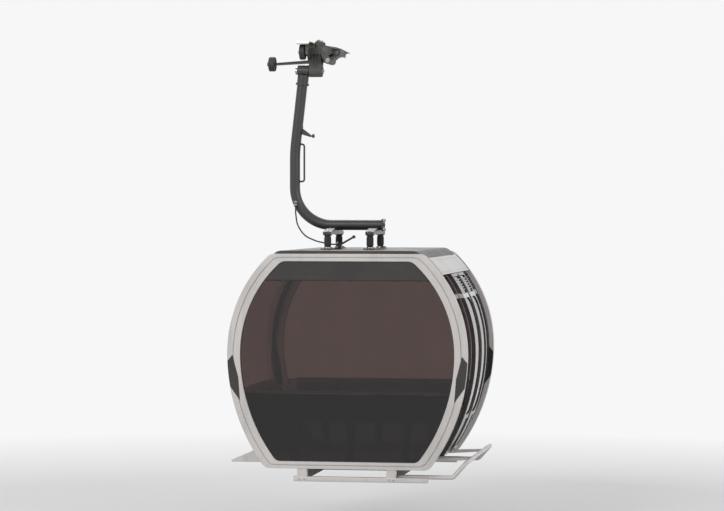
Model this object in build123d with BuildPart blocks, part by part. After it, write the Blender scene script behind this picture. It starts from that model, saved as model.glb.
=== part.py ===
from build123d import *
import math
import os

os.makedirs("parts", exist_ok=True)

# Gondola cabin with its hanger and rope grip. Sizes are in millimetres.
# The origin is on the rope's axis at the middle of the grip's jaws.
# +Y runs along the rope, +Z is up and +X points to the door side.

# Clearances
running_gap = 5.0      # between pieces that move past each other
pin_gap = 0.05         # radial, between a pin and the bore that turns on it
fit_gap = 0.3          # between a pane or panel and the frame that holds it

# Rope and jaws
rope_radius = 25.0
rope_relief = 4.0      # extra radius where the grip guides the rope without holding it
jaw_length = 180.0
jaw_wall = 20.0
fixed_jaw_start = 60.0     # angles round the rope, from +X towards +Z
fixed_jaw_end = 205.0
moving_jaw_start = 225.0
moving_jaw_end = 390.0

# Grip body
body_length = 260.0
body_left = -240.0
body_right = -45.0
body_top = 50.0
body_bottom = -15.0
body_chamfer = 14.0
cheek_width = 32.0
column_left = -270.0
column_right = -150.0
column_width = 120.0
column_root = 20.0     # how far the column runs up into the block
gusset_thickness = 16.0
gusset_reach = 45.0
gusset_drop = 90.0

# Jaw pin and coupling lever
jaw_pin_x = -72.0
jaw_pin_z = -78.0
jaw_pin_radius = 15.0
knuckle_radius = 34.0
lever_width = 44.0
lever_root_x = -87.0
lever_root_top = -56.0
lever_root_bottom = -92.0
lever_end_x = -600.0
lever_end_z = -104.0
lever_end_height = 24.0
lever_pocket_depth = 12.0
lever_flange = 7.0
coupling_roller_radius = 70.0
coupling_roller_width = 60.0
coupling_axle_radius = 12.0

# Running wheels and friction plate
wheel_radius = 75.0
wheel_width = 50.0
wheel_x = -300.0
wheel_y = 215.0
wheel_axle_radius = 14.0
beam_thickness = 22.0
beam_overhang = 65.0       # past each wheel's axis
beam_bottom = -60.0
beam_end_bottom = -28.0
plate_gap = 9.0            # between the wheels and the friction plate
plate_thickness = 14.0
plate_right = -222.0
plate_width = 120.0
plate_overhang = 115.0     # past each wheel's axis
plate_ramp = 50.0
plate_ramp_drop = 18.0

# Spring housings and tongues
spring_radius = 38.0
spring_x = -170.0
spring_y = 80.0
spring_top = 118.0
tongue_end = 620.0
tongue_wall = 19.0
tongue_tip_wall = 6.0

# Hanger
hanger_pin_radius = 22.0
pin_head_rim = 14.0
hanger_pin_z = -172.0
hub_x = -330.0
hub_radius = 55.0
hub_width = 110.0
hanger_radius = 50.0
hanger_x = -418.0
hanger_lean_z = -950.0
arm_z = -1660.0
arm_end_x = 440.0
lean_bend_radius = 1500.0
arm_bend_radius = 360.0
neck_end = 140.0
collar_rim = 14.0
collar_thickness = 22.0
end_plate_thickness = 15.0

# Suspension between the hanger's arm and the roof
suspension_x = 165.0
damper_spacing_x = 410.0
damper_spacing_y = 620.0
damper_radius = 34.0
beam_width = 80.0
cross_beam_drop = 30.0     # from the arm's axis to the beams' top
cross_beam_height = 60.0
cross_beam_tip = 26.0
cross_beam_shoulder = 140.0
roof_rail_thickness = 12.0

# Cabin section across the rope: a flat top and bottom, and two arcs a side that meet at the waist
cabin_x = 270.0
frame_top = -1920.0
cabin_height = 2000.0
cabin_length = 2100.0
waist_drop = 934.0
waist_half_width = 1130.0
upper_side_radius = 1263.0
lower_side_radius = 1750.0
top_corner_radius = 100.0
bottom_corner_radius = 80.0

# End frames and end glazing
end_frame_depth = 60.0
end_frame_side = 122.0
end_frame_top = 70.0
end_frame_bottom = 67.0
groove_inset = 54.0
groove_width = 8.0
groove_depth = 8.0
pane_thickness = 8.0
pane_setback = 18.0
header_drop = 245.0
sill_drop = 1302.0
pane_joint = 4.0

# Side walls and roof
wall_thickness = 30.0
recess = 45.0
outer_recess = 20.0
side_pane_inset = 8.0      # from a side wall's face to its pane
outer_window_end = 65.0    # from the outer window to the end frames
outer_window_head = 40.0   # from the header to the window
outer_window_lap = 20.0    # from the sill line up to the window, and down to its frame's end
door_header_inset = 2.0
door_header_lap = 10.0     # how far the door header stays outside the roof's inner face
large_corner = 90.0
side_corner = 60.0
small_corner = 25.0
roof_rise = 28.0
roof_wall = 60.0
roof_drop = 40.0
eaves_drop = 194.0
floor_thickness = 70.0
floor_inset = 45.0

# Doors
door_width = 430.0     # one leaf
door_thickness = 38.0
door_gap = 6.0         # between the header and the leaves
door_sill = 75.0       # from the leaves' bottom to the end frames' bottom
door_overlap = 20.0
door_seam = 3.0
door_border = 45.0
door_head = 25.0       # from the leaves' top to the vent windows
door_rail = 40.0       # between one window or panel and the next
vent_height = 160.0
kick_height = 300.0
kick_panel_inset = 6.0
kick_panel_thickness = 24.0
door_pane_inset = 10.0
side_border = 50.0     # round the windows of the fixed side panels

# Benches
bench_depth = 430.0
seat_height = 450.0
cushion_thickness = 60.0
back_height = 200.0
back_thickness = 50.0
back_plate = 14.0
bench_side_gap = 25.0
cushion_inset = 60.0
bench_pan = 24.0
leg_spacing = 530.0
leg_thickness = 30.0
leg_setback = 50.0
leg_foot = 260.0

# Underframe, bumper bars and guide rails
bumper_clearance = 118.0   # from the end frames' bottom to the bars' bottom
bumper_height = 46.0
guide_inset = 25.0         # how far the guides stay inside the waist's width

half_length = cabin_length / 2
inner_end = half_length - end_frame_depth
floor_top_drop = cabin_height - floor_thickness
door_top = eaves_drop + door_gap
door_bottom = cabin_height - door_sill
kick_top = door_bottom - door_border - kick_height
vent_rows = (door_top + door_head, door_top + door_head + vent_height)
window_rows = (vent_rows[1] + door_rail, kick_top - door_rail)
bumper_drop = cabin_height + bumper_clearance
guide_reach = waist_half_width - guide_inset
plate_z = wheel_radius + plate_gap
cross_beam_top = arm_z - cross_beam_drop
cross_beam_bottom = cross_beam_top - cross_beam_height
damper_columns = (suspension_x - damper_spacing_x / 2, suspension_x + damper_spacing_x / 2)
damper_rows = (-damper_spacing_y / 2, damper_spacing_y / 2)
roof_top = frame_top + roof_rise
roof_rail_top = roof_top + roof_rail_thickness


def save(piece, name):
    """Label a finished piece and write it to its own file."""
    piece.label = name
    export_step(piece, f"parts/{name}.step")


def across(y):
    """A plane across the rope at y: local X is X, local Y is Z, and it extrudes towards -Y."""
    return Plane(origin=(0, y, 0), x_dir=(1, 0, 0), z_dir=(0, -1, 0))


def cabin_plane(y):
    """The same plane with its origin at the cabin's middle, level with the end frames' top."""
    return Plane(origin=(cabin_x, y, frame_top), x_dir=(1, 0, 0), z_dir=(0, -1, 0))


def side_plane(x):
    """A plane along the rope at x: local X is Y, local Y is Z below the frame top."""
    return Plane(origin=(x, 0, frame_top), x_dir=(0, 1, 0), z_dir=(1, 0, 0))


def half_width(drop, inset=0.0):
    """Half the cabin's width at a drop below the frame top, less an inset of the side."""
    radius = upper_side_radius if drop < waist_drop else lower_side_radius
    centre = waist_half_width - radius
    return centre + math.sqrt((radius - inset) ** 2 - (drop - waist_drop) ** 2)


def cabin_section(side=0.0, top=0.0, bottom=0.0):
    """The cabin's outline as a face, drawn in by its own amount at the sides, top and bottom."""
    low = cabin_height - bottom
    points = [
        (half_width(drop, side), -drop)
        for drop in (top, (top + waist_drop) / 2, waist_drop, (waist_drop + low) / 2, low)
    ]
    with BuildSketch() as section:
        with BuildLine():
            Line((0, -top), points[0])
            ThreePointArc(points[0], points[1], points[2])
            ThreePointArc(points[2], points[3], points[4])
            Line(points[4], (0, -low))
            mirror(about=Plane.YZ)
        make_face()
        corners = section.vertices().filter_by(lambda v: abs(v.X) > 1 and abs(v.Y + waist_drop) > 1)
        fillet(corners.group_by(Axis.Y)[-1], top_corner_radius)
        fillet(section.vertices().group_by(Axis.Y)[0], bottom_corner_radius)
    return section.sketch


def wall_band(outer, inner, side, top, bottom):
    """A strip of side wall between two insets and two drops. side is -1 outer, +1 door side."""
    with BuildSketch() as band:
        add(cabin_section(side=outer))
        add(cabin_section(side=inner), mode=Mode.SUBTRACT)
        with Locations((side * waist_half_width / 2, -(top + bottom) / 2)):
            Rectangle(waist_half_width, bottom - top, mode=Mode.INTERSECT)
    return band.sketch


# Grip body: block round the rope, cheeks for the jaw pin, and a column for the hanger pin
with BuildPart() as grip_body:
    with BuildSketch(across(body_length / 2)):
        with Locations(((body_left + body_right) / 2, (body_top + body_bottom) / 2)):
            Rectangle(body_right - body_left, body_top - body_bottom)
        with Locations((0, 0)):
            Circle(rope_radius + jaw_wall + rope_relief)
            with Locations((body_right, 0)):
                Rectangle(30, body_top - body_bottom)
    extrude(amount=body_length)
    top_edges = grip_body.edges().filter_by(Axis.Y).group_by(Axis.Z)[-1]
    chamfer(top_edges.sort_by(Axis.X)[0], body_chamfer)
    for y_far in (body_length / 2, cheek_width - body_length / 2):
        with BuildSketch(across(y_far)):
            with Locations((jaw_pin_x, jaw_pin_z)):
                Circle(knuckle_radius)
            with BuildLine():
                Polyline(
                    (column_right, body_bottom + 10),
                    (body_right, body_bottom + 10),
                    (jaw_pin_x + knuckle_radius, jaw_pin_z),
                    (jaw_pin_x, jaw_pin_z - knuckle_radius),
                    (jaw_pin_x - 20, jaw_pin_z - knuckle_radius + 4),
                    close=True,
                )
            make_face()
        extrude(amount=cheek_width)
    column_top = body_bottom + column_root
    with BuildSketch(Plane.YZ.offset(column_left)):
        with Locations((0, (column_top + hanger_pin_z) / 2)):
            Rectangle(column_width, column_top - hanger_pin_z)
        with Locations((0, hanger_pin_z)):
            Circle(column_width / 2)
    extrude(amount=column_right - column_left)
    for x in (body_left, column_right - gusset_thickness):
        with BuildSketch(Plane.YZ.offset(x)):
            with BuildLine():
                Polyline(
                    (column_width / 2 + gusset_reach, body_bottom),
                    (column_width / 2, body_bottom - gusset_drop),
                    (-column_width / 2, body_bottom - gusset_drop),
                    (-column_width / 2 - gusset_reach, body_bottom),
                    close=True,
                )
            make_face()
        extrude(amount=gusset_thickness)
    # Rope groove, tight where the jaws hold and relieved beyond them, and open below the jaws
    with Locations(Location((0, 0, 0), (90, 0, 0))):
        Cylinder(rope_radius, body_length, mode=Mode.SUBTRACT)
        with Locations((0, 0, (body_length + jaw_length) / 4), (0, 0, -(body_length + jaw_length) / 4)):
            Cylinder(rope_radius + rope_relief, (body_length - jaw_length) / 2, mode=Mode.SUBTRACT)
    with BuildSketch(across(body_length / 2)):
        with BuildLine():
            reach = 3 * rope_radius
            Polyline(
                (0, 0),
                (reach * math.cos(math.radians(fixed_jaw_end)), reach * math.sin(math.radians(fixed_jaw_end))),
                (-rope_radius, -reach),
                (reach, -reach),
                (reach, reach * math.tan(math.radians(40))),
                (reach * math.cos(math.radians(fixed_jaw_start)), reach * math.sin(math.radians(fixed_jaw_start))),
                close=True,
            )
        make_face()
        with Locations((jaw_pin_x, jaw_pin_z)):
            Circle(knuckle_radius + 1, mode=Mode.SUBTRACT)
    extrude(amount=body_length, mode=Mode.SUBTRACT)
    # Slot that the coupling lever moves in
    slot_bottom = lever_root_bottom - 4 * running_gap
    with Locations(((column_left + body_right) / 2, 0, (slot_bottom + body_bottom) / 2)):
        Box(
            body_right - column_left + 60,
            lever_width + 2.4 * running_gap,
            body_bottom - slot_bottom,
            mode=Mode.SUBTRACT,
        )
    with Locations(Location((jaw_pin_x, 0, jaw_pin_z), (90, 0, 0))):
        Cylinder(jaw_pin_radius, body_length + 2, mode=Mode.SUBTRACT)
    with Locations(Location(((column_left + column_right) / 2, 0, hanger_pin_z), (0, 90, 0))):
        Cylinder(hanger_pin_radius, column_right - column_left + 2, mode=Mode.SUBTRACT)
save(grip_body.part, "grip_body")

# Wheel beam: a plate on the block's back, notched over the column, with tapered ends
beam_end = wheel_y + beam_overhang
notch_half = column_width / 2 + fit_gap
with BuildPart() as wheel_beam:
    with BuildSketch(Plane.YZ.offset(body_left - beam_thickness)):
        with BuildLine():
            Polyline(
                (0, plate_z),
                (beam_end, plate_z),
                (beam_end, beam_end_bottom),
                (notch_half + gusset_reach, beam_bottom),
                (notch_half, beam_bottom),
                (notch_half, column_top + fit_gap),
                (0, column_top + fit_gap),
            )
            mirror(about=Plane.YZ)
        make_face()
    extrude(amount=beam_thickness)
save(wheel_beam.part, "wheel_beam")

# Jaw pin with a head at each end
with BuildPart() as jaw_pin:
    with Locations(Location((jaw_pin_x, 0, jaw_pin_z), (90, 0, 0))):
        Cylinder(jaw_pin_radius, body_length + 16)
        with Locations((0, 0, body_length / 2 + 4), (0, 0, -body_length / 2 - 4)):
            Cylinder(jaw_pin_radius + 6, 8)
save(jaw_pin.part, "jaw_pin")

# Moving jaw: it holds the rope from below, and its lever reaches out to the coupling roller
with BuildPart() as moving_jaw:
    jaw_span = body_length - 2 * cheek_width - 2 * running_gap - 6
    with BuildSketch(across(jaw_span / 2)):
        with Locations((jaw_pin_x, jaw_pin_z)):
            Circle(knuckle_radius)
        with BuildLine():
            Polyline(
                (jaw_pin_x, jaw_pin_z + 26),
                (-rope_radius - 4, -rope_radius - 6),
                (0, -rope_radius - jaw_wall),
                (jaw_pin_x, jaw_pin_z - knuckle_radius + 4),
                close=True,
            )
        make_face()
        with Locations((0, 0)):
            Circle(rope_radius + 2, mode=Mode.SUBTRACT)
    extrude(amount=jaw_span)
    with BuildSketch(across(jaw_length / 2)) as lip:
        Circle(rope_radius + jaw_wall)
        Circle(rope_radius, mode=Mode.SUBTRACT)
        with BuildLine():
            reach = 3 * rope_radius
            corners = [
                (reach * math.cos(math.radians(a)), reach * math.sin(math.radians(a)))
                for a in (moving_jaw_start, 270, 315, moving_jaw_end)
            ]
            Polyline((0, 0), *corners, close=True)
        make_face(mode=Mode.INTERSECT)
    extrude(amount=jaw_length)
    lever_outline = [
        (lever_root_x, lever_root_top),
        (lever_end_x, lever_end_z + lever_end_height / 2),
        (lever_end_x, lever_end_z - lever_end_height / 2),
        (lever_root_x, lever_root_bottom),
    ]
    with BuildSketch(across(lever_width / 2)):
        with BuildLine():
            Polyline(*lever_outline, close=True)
        make_face()
    extrude(amount=lever_width)
    for y_far in (lever_width / 2, lever_pocket_depth - lever_width / 2):
        with BuildSketch(across(y_far)):
            with BuildLine():
                Polyline(*lever_outline, close=True)
            make_face()
            offset(amount=-lever_flange, kind=Kind.INTERSECTION)
            with Locations(((body_left + lever_end_x) / 2, lever_end_z)):
                Rectangle(body_left - lever_end_x - 60, 100, mode=Mode.INTERSECT)
        extrude(amount=lever_pocket_depth, mode=Mode.SUBTRACT)
    with Locations(Location((jaw_pin_x, 0, jaw_pin_z), (90, 0, 0))):
        Cylinder(jaw_pin_radius + pin_gap, jaw_span + 2, mode=Mode.SUBTRACT)
    # Axle of the coupling roller
    axle_length = coupling_roller_width + 4 * running_gap
    with Locations(Location((lever_end_x - axle_length / 2, 0, lever_end_z), (0, 90, 0))):
        Cylinder(coupling_axle_radius, axle_length)
        with Locations((0, 0, -axle_length / 2 - 4)):
            Cylinder(coupling_axle_radius + 8, 8)
save(moving_jaw.part, "moving_jaw")


def rolling_wheel(name, x, y, z, radius, width, bore, web):
    """A wheel that turns about X, with a rim and a thinner web."""
    with BuildPart() as wheel:
        with BuildSketch(Plane(origin=(x, y, z), x_dir=(1, 0, 0), z_dir=(0, -1, 0))):
            with BuildLine():
                half = width / 2
                Polyline(
                    (-half, bore),
                    (-half, bore + 14),
                    (-web / 2, bore + 18),
                    (-web / 2, radius - 22),
                    (-half, radius - 18),
                    (-half, radius - 5),
                    (-half + 5, radius),
                    (half - 5, radius),
                    (half, radius - 5),
                    (half, radius - 18),
                    (web / 2, radius - 22),
                    (web / 2, bore + 18),
                    (half, bore + 14),
                    (half, bore),
                    close=True,
                )
            make_face()
        revolve(axis=Axis((x, y, z), (1, 0, 0)), revolution_arc=360)
    save(wheel.part, name)


coupling_roller_x = lever_end_x - axle_length / 2
rolling_wheel(
    "coupling_roller", coupling_roller_x, 0, lever_end_z,
    coupling_roller_radius, coupling_roller_width, coupling_axle_radius + pin_gap, 30,
)
for name, y in (("running_wheel_front", -wheel_y), ("running_wheel_rear", wheel_y)):
    rolling_wheel(name, wheel_x, y, 0, wheel_radius, wheel_width, wheel_axle_radius + pin_gap, 24)

# Wheel axles on the beam, each with a shoulder inside and a cap outside
beam_face = body_left - beam_thickness
with BuildPart() as wheel_axles:
    wheel_inner = wheel_x + wheel_width / 2 + running_gap
    wheel_outer = wheel_x - wheel_width / 2 - running_gap
    for y in (-wheel_y, wheel_y):
        with Locations(Location(((beam_face + wheel_outer - 8) / 2, y, 0), (0, 90, 0))):
            Cylinder(wheel_axle_radius, beam_face - wheel_outer + 8)
        with Locations(Location(((beam_face + wheel_inner) / 2, y, 0), (0, 90, 0))):
            Cylinder(wheel_axle_radius + 9, beam_face - wheel_inner)
        with Locations(Location((wheel_outer - 4, y, 0), (0, 90, 0))):
            Cylinder(wheel_axle_radius + 9, 8)
save(wheel_axles.part, "wheel_axles")

# Friction plate on top of the wheel beam, bent down into a ramp at each end
plate_end = wheel_y + plate_overhang
with BuildPart() as friction_plate:
    with BuildSketch(Plane.YZ.offset(plate_right - plate_width)):
        with BuildLine():
            Polyline(
                (0, plate_z + plate_thickness),
                (plate_end - plate_ramp, plate_z + plate_thickness),
                (plate_end, plate_z + plate_thickness - plate_ramp_drop),
                (plate_end, plate_z - plate_ramp_drop),
                (plate_end - plate_ramp, plate_z),
                (0, plate_z),
            )
            mirror(about=Plane.YZ)
        make_face()
    extrude(amount=plate_width)
    chamfer(friction_plate.edges().filter_by(Axis.Z), plate_thickness)
save(friction_plate.part, "friction_plate")

# Spring housings on the block
with BuildPart() as spring_housings:
    for y in (-spring_y, spring_y):
        with BuildSketch(Plane(origin=(spring_x, y, body_top), x_dir=(1, 0, 0), z_dir=(0, -1, 0))):
            with BuildLine():
                height = spring_top - body_top
                Polyline(
                    (0, 0),
                    (spring_radius, 0),
                    (spring_radius, height - 20),
                    (spring_radius - 8, height - 12),
                    (18, height - 12),
                    (18, height),
                    (0, height),
                    close=True,
                )
            make_face()
        revolve(axis=Axis((spring_x, y, body_top), (0, 0, 1)), revolution_arc=360)
save(spring_housings.part, "spring_housings")

# Tongues that lead the rope's line over the sheaves, one each way
with BuildPart() as rope_tongues:
    start = math.radians(fixed_jaw_end)
    inner_radius = rope_radius + rope_relief
    sector_plane = Plane(
        origin=(0, 0, 0),
        x_dir=(math.cos(start), 0, math.sin(start)),
        z_dir=(-math.sin(start), 0, math.cos(start)),
    )
    for way in (-1, 1):
        with BuildSketch(sector_plane):
            with BuildLine():
                Polyline(
                    (inner_radius, way * body_length / 2),
                    (inner_radius + tongue_wall, way * body_length / 2),
                    (inner_radius + tongue_tip_wall, way * tongue_end),
                    (inner_radius, way * tongue_end),
                    close=True,
                )
            make_face()
        revolve(axis=Axis.Y, revolution_arc=fixed_jaw_end - fixed_jaw_start)
save(rope_tongues.part, "rope_tongues")

# Pin that the hanger swings on
pin_head_radius = hanger_pin_radius + pin_head_rim
with BuildPart() as hanger_pin:
    hub_outer = hub_x - hub_width / 2
    pin_length = column_right - hub_outer + running_gap + 12
    with Locations(Location((column_right - pin_length / 2, 0, hanger_pin_z), (0, 90, 0))):
        Cylinder(hanger_pin_radius, pin_length)
    with Locations(Location((hub_outer - running_gap - 9, 0, hanger_pin_z), (0, 90, 0))):
        Cylinder(pin_head_radius, 18)
    with Locations(Location((column_right + 6, 0, hanger_pin_z), (0, 90, 0))):
        Cylinder(hanger_pin_radius + 10, 12)
save(hanger_pin.part, "hanger_pin")

# Hanger: head with the pin's hub, bent tube, and end plate
lean = math.atan2(hub_x - hanger_x, hanger_pin_z - hanger_lean_z)
lean_dir = (-math.sin(lean), 0, -math.cos(lean))


def down_hanger(distance):
    """A plane square to the hanger's upper run at a distance from the pin, facing down it."""
    origin = (hub_x + distance * lean_dir[0], 0, hanger_pin_z + distance * lean_dir[2])
    return Plane(origin=origin, x_dir=(0, 1, 0), z_dir=lean_dir)


neck_start = pin_head_radius + running_gap
with BuildPart() as hanger_head:
    with Locations(Location((hub_x, 0, hanger_pin_z), (0, 90, 0))):
        Cylinder(hub_radius, hub_width)
    with BuildSketch(down_hanger(neck_start)):
        Circle(hub_radius)
    with BuildSketch(down_hanger(neck_end)):
        Circle(hanger_radius + 4)
    loft()
    with BuildSketch(down_hanger(neck_end - collar_thickness)):
        Circle(hanger_radius + collar_rim)
    extrude(amount=collar_thickness)
    with Locations(Location((hub_x, 0, hanger_pin_z), (0, 90, 0))):
        Cylinder(hanger_pin_radius + pin_gap, hub_width + 20, mode=Mode.SUBTRACT)
save(hanger_head.part, "hanger_head")

with BuildPart() as hanger_tube:
    tube_start = down_hanger(neck_end)
    with BuildLine() as hanger_path:
        FilletPolyline(
            tuple(tube_start.origin),
            (hanger_x, 0, hanger_lean_z),
            (hanger_x, 0, arm_z),
            (arm_end_x, 0, arm_z),
            radius=[lean_bend_radius, arm_bend_radius],
        )
    with BuildSketch(tube_start):
        Circle(hanger_radius)
    sweep(path=hanger_path.wire())
save(hanger_tube.part, "hanger_tube")

with BuildPart() as hanger_end_plate:
    with BuildSketch(Plane.YZ.offset(arm_end_x)):
        with Locations((0, arm_z)):
            RectangleRounded(2 * hanger_radius + 18, 2 * hanger_radius + 18, 12)
    extrude(amount=end_plate_thickness)
    with Locations(Location((arm_end_x + end_plate_thickness + 5, 0, arm_z), (0, 90, 0))):
        Cylinder(18, 10)
save(hanger_end_plate.part, "hanger_end_plate")

# Grab rail on the hanger's inner side
rail_radius = 9.0
rail_x = hanger_x + hanger_radius + 42
rail_top = -880.0
rail_bottom = -1240.0
with BuildPart() as hanger_grab_rail:
    with BuildLine() as rail_path:
        FilletPolyline(
            (hanger_x + hanger_radius - 1, 0, rail_top),
            (rail_x, 0, rail_top),
            (rail_x, 0, rail_bottom),
            (hanger_x + hanger_radius - 1, 0, rail_bottom),
            radius=22,
        )
    with BuildSketch(Plane(origin=rail_path.wire() @ 0, z_dir=rail_path.wire() % 0)):
        Circle(rail_radius)
    sweep(path=rail_path.wire())
    add(hanger_tube.part, mode=Mode.SUBTRACT)
save(hanger_grab_rail.part, "hanger_grab_rail")

# Knob on its bracket above the grab rail, where the door cable is released by hand
knob_z = -800.0
knob_x = -262.0
with BuildPart() as release_bracket:
    bracket_root = hub_x + (knob_z - hanger_pin_z) * math.tan(lean) + hanger_radius / math.cos(lean) - 2
    with BuildSketch(across(6)):
        with BuildLine():
            Polyline(
                (bracket_root - 12, knob_z + 90),
                (knob_x, knob_z + 12),
                (knob_x, knob_z - 12),
                (bracket_root - 14, knob_z + 20),
                close=True,
            )
        make_face()
    extrude(amount=12)
    with BuildSketch(Plane(origin=(knob_x, 0, knob_z), z_dir=(1, 0, 0))):
        Circle(8)
    extrude(amount=14)
    with BuildSketch(Plane(origin=(knob_x + 14, 0, knob_z), z_dir=(1, 0, 0))):
        Circle(18)
    extrude(amount=22)
    add(hanger_tube.part, mode=Mode.SUBTRACT)
save(release_bracket.part, "release_bracket")

# Two beams under the arm, notched to its tube, that carry the dampers
with BuildPart() as suspension_beams:
    for x in damper_columns:
        beam_half = (damper_spacing_y + beam_width) / 2
        with BuildSketch(Plane.YZ.offset(x - beam_width / 2)):
            with BuildLine():
                Polyline(
                    (0, cross_beam_top),
                    (cross_beam_shoulder, cross_beam_top),
                    (beam_half, cross_beam_bottom + cross_beam_tip),
                    (beam_half, cross_beam_bottom),
                    (0, cross_beam_bottom),
                )
                mirror(about=Plane.YZ)
            make_face()
        extrude(amount=beam_width)
    with Locations(Location((suspension_x, 0, arm_z), (0, 90, 0))):
        Cylinder(hanger_radius, 2 * damper_spacing_x, mode=Mode.SUBTRACT)
save(suspension_beams.part, "suspension_beams")

# Rubber dampers between the beams and the roof rails
damper_height = cross_beam_bottom - roof_rail_top
damper_plate = 10.0
damper_rim = 6.0
damper_barrel = 24.0
with BuildPart() as dampers:
    for x in damper_columns:
        for y in damper_rows:
            with BuildSketch(Plane(origin=(x, y, roof_rail_top), x_dir=(1, 0, 0), z_dir=(0, -1, 0))):
                with BuildLine():
                    Polyline(
                        (0, 0),
                        (damper_radius + damper_rim, 0),
                        (damper_radius + damper_rim, damper_plate),
                        (damper_radius - damper_rim, damper_plate),
                        (damper_radius, damper_plate + damper_barrel),
                        (damper_radius, damper_height - damper_plate - damper_barrel),
                        (damper_radius - damper_rim, damper_height - damper_plate),
                        (damper_radius + damper_rim, damper_height - damper_plate),
                        (damper_radius + damper_rim, damper_height),
                        (0, damper_height),
                        close=True,
                    )
                make_face()
            revolve(axis=Axis((x, y, roof_rail_top), (0, 0, 1)), revolution_arc=360)
save(dampers.part, "dampers")

with BuildPart() as roof_rails:
    for x in damper_columns:
        with Locations((x, 0, roof_top + roof_rail_thickness / 2)):
            Box(beam_width + 20, damper_spacing_y + 200, roof_rail_thickness)
save(roof_rails.part, "roof_rails")

# Door control: a lever on the roof between the beams, and the cable that works it
lever_low = (damper_columns[0] + 74, roof_rail_top + 30)
lever_high = (damper_columns[0] + 205, cross_beam_bottom - 25)
with BuildPart() as door_lever:
    with BuildSketch(across(-20)):
        with BuildLine():
            slope = math.atan2(lever_high[1] - lever_low[1], lever_high[0] - lever_low[0])
            side_step = (-9 * math.sin(slope), 9 * math.cos(slope))
            Polyline(
                (lever_low[0] + side_step[0], lever_low[1] + side_step[1]),
                (lever_low[0] - side_step[0], lever_low[1] - side_step[1]),
                (lever_high[0] - side_step[0], lever_high[1] - side_step[1]),
                (lever_high[0] + side_step[0], lever_high[1] + side_step[1]),
                close=True,
            )
        make_face()
        with Locations(lever_low, lever_high):
            Circle(16)
    extrude(amount=16)
    with Locations((lever_low[0], -28, (roof_top + lever_low[1] - 10) / 2)):
        Box(36, 40, lever_low[1] - 10 - roof_top)
save(door_lever.part, "door_lever")

cable_radius = 7.0
cable_start = (-400.0, -62.0, -1460.0)
cable_end = (damper_columns[0] + 52, -62.0, roof_top + 45)
gland_length = 40.0
with BuildPart() as cable_glands:
    with Locations((cable_start[0], cable_start[1], cable_start[2] + gland_length / 2)):
        Cylinder(2 * cable_radius, gland_length)
    add(hanger_tube.part, mode=Mode.SUBTRACT)
    gland_height = cable_end[2] + 2 * cable_radius - roof_top
    with Locations((cable_end[0] + gland_length / 2, cable_end[1], roof_top + gland_height / 2)):
        Box(gland_length, 4 * cable_radius, gland_height)
save(cable_glands.part, "cable_glands")

with BuildPart() as door_cable:
    with BuildLine() as cable_path:
        FilletPolyline(
            cable_start,
            (cable_start[0], cable_start[1], -1545),
            (-385, -66, -1660),
            (-310, -68, -1768),
            (-190, -66, -1818),
            (-50, cable_end[1], cable_end[2]),
            cable_end,
            radius=[240, 210, 190, 210, 270],
        )
    with BuildSketch(Plane(origin=cable_path.wire() @ 0, z_dir=cable_path.wire() % 0)):
        Circle(cable_radius)
    sweep(path=cable_path.wire())
save(door_cable.part, "door_cable")

# End frames: a ring with a groove round its face and a notch at each waist for the inserts
insert_high = waist_drop + 10
insert_low = waist_drop + 440
insert_outer_high = waist_drop + 95
insert_outer_low = waist_drop + 270


def waist_lens(side, grow=0.0):
    """The lens-shaped notch in the end frame at one waist, as a face on the cabin plane."""
    high = insert_high - grow
    low = insert_low + grow
    middle = (high + low) / 2
    with BuildSketch() as lens:
        with BuildLine():
            Polyline(
                (side * (half_width(high) - 50), -high),
                (side * (half_width(insert_outer_high) + 20), -insert_outer_high + grow),
                (side * (half_width(insert_outer_low) + 20), -insert_outer_low - grow),
                (side * (half_width(low) - 66), -low),
                (side * (half_width(middle) - 92 - grow), -middle),
                close=True,
            )
        make_face()
        add(cabin_section(), mode=Mode.INTERSECT)
    return lens.sketch


for name, y_far, y_face in (
    ("front_end_frame", -inner_end, -half_length + groove_depth),
    ("rear_end_frame", half_length, half_length),
):
    with BuildPart() as end_frame:
        with BuildSketch(cabin_plane(y_far)):
            add(cabin_section())
            add(cabin_section(end_frame_side, end_frame_top, end_frame_bottom), mode=Mode.SUBTRACT)
            for side in (-1, 1):
                add(waist_lens(side), mode=Mode.SUBTRACT)
        extrude(amount=end_frame_depth)
        with BuildSketch(cabin_plane(y_face)):
            add(cabin_section(groove_inset, end_frame_top / 2 - 4, end_frame_bottom / 2 - 4))
            add(
                cabin_section(groove_inset + groove_width, end_frame_top / 2 + 4, end_frame_bottom / 2 + 4),
                mode=Mode.SUBTRACT,
            )
        extrude(amount=groove_depth, mode=Mode.SUBTRACT)
    save(end_frame.part, name)

with BuildPart() as waist_inserts:
    for y_far in (-inner_end, half_length - 3):
        with BuildSketch(cabin_plane(y_far)):
            for side in (-1, 1):
                add(waist_lens(side, grow=-fit_gap))
        extrude(amount=end_frame_depth - 3)
save(waist_inserts.part, "waist_inserts")

# End glazing: a dark header, the smoked window and a dark lower panel, stacked in the ring
glazing_rows = (
    ("header", end_frame_top + fit_gap, header_drop),
    ("window", header_drop + pane_joint, sill_drop),
    ("lower_panel", sill_drop + pane_joint, cabin_height - end_frame_bottom - fit_gap),
)
for end, y_far in (("front", -half_length + pane_setback + pane_thickness), ("rear", half_length - pane_setback)):
    for row, top, bottom in glazing_rows:
        with BuildPart() as pane:
            with BuildSketch(cabin_plane(y_far)):
                add(
                    cabin_section(
                        end_frame_side + fit_gap, end_frame_top + fit_gap, end_frame_bottom + fit_gap
                    )
                )
                with Locations((0, -(top + bottom) / 2)):
                    Rectangle(3 * waist_half_width, bottom - top, mode=Mode.INTERSECT)
            extrude(amount=pane_thickness)
        save(pane.part, f"{end}_{row}")

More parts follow.
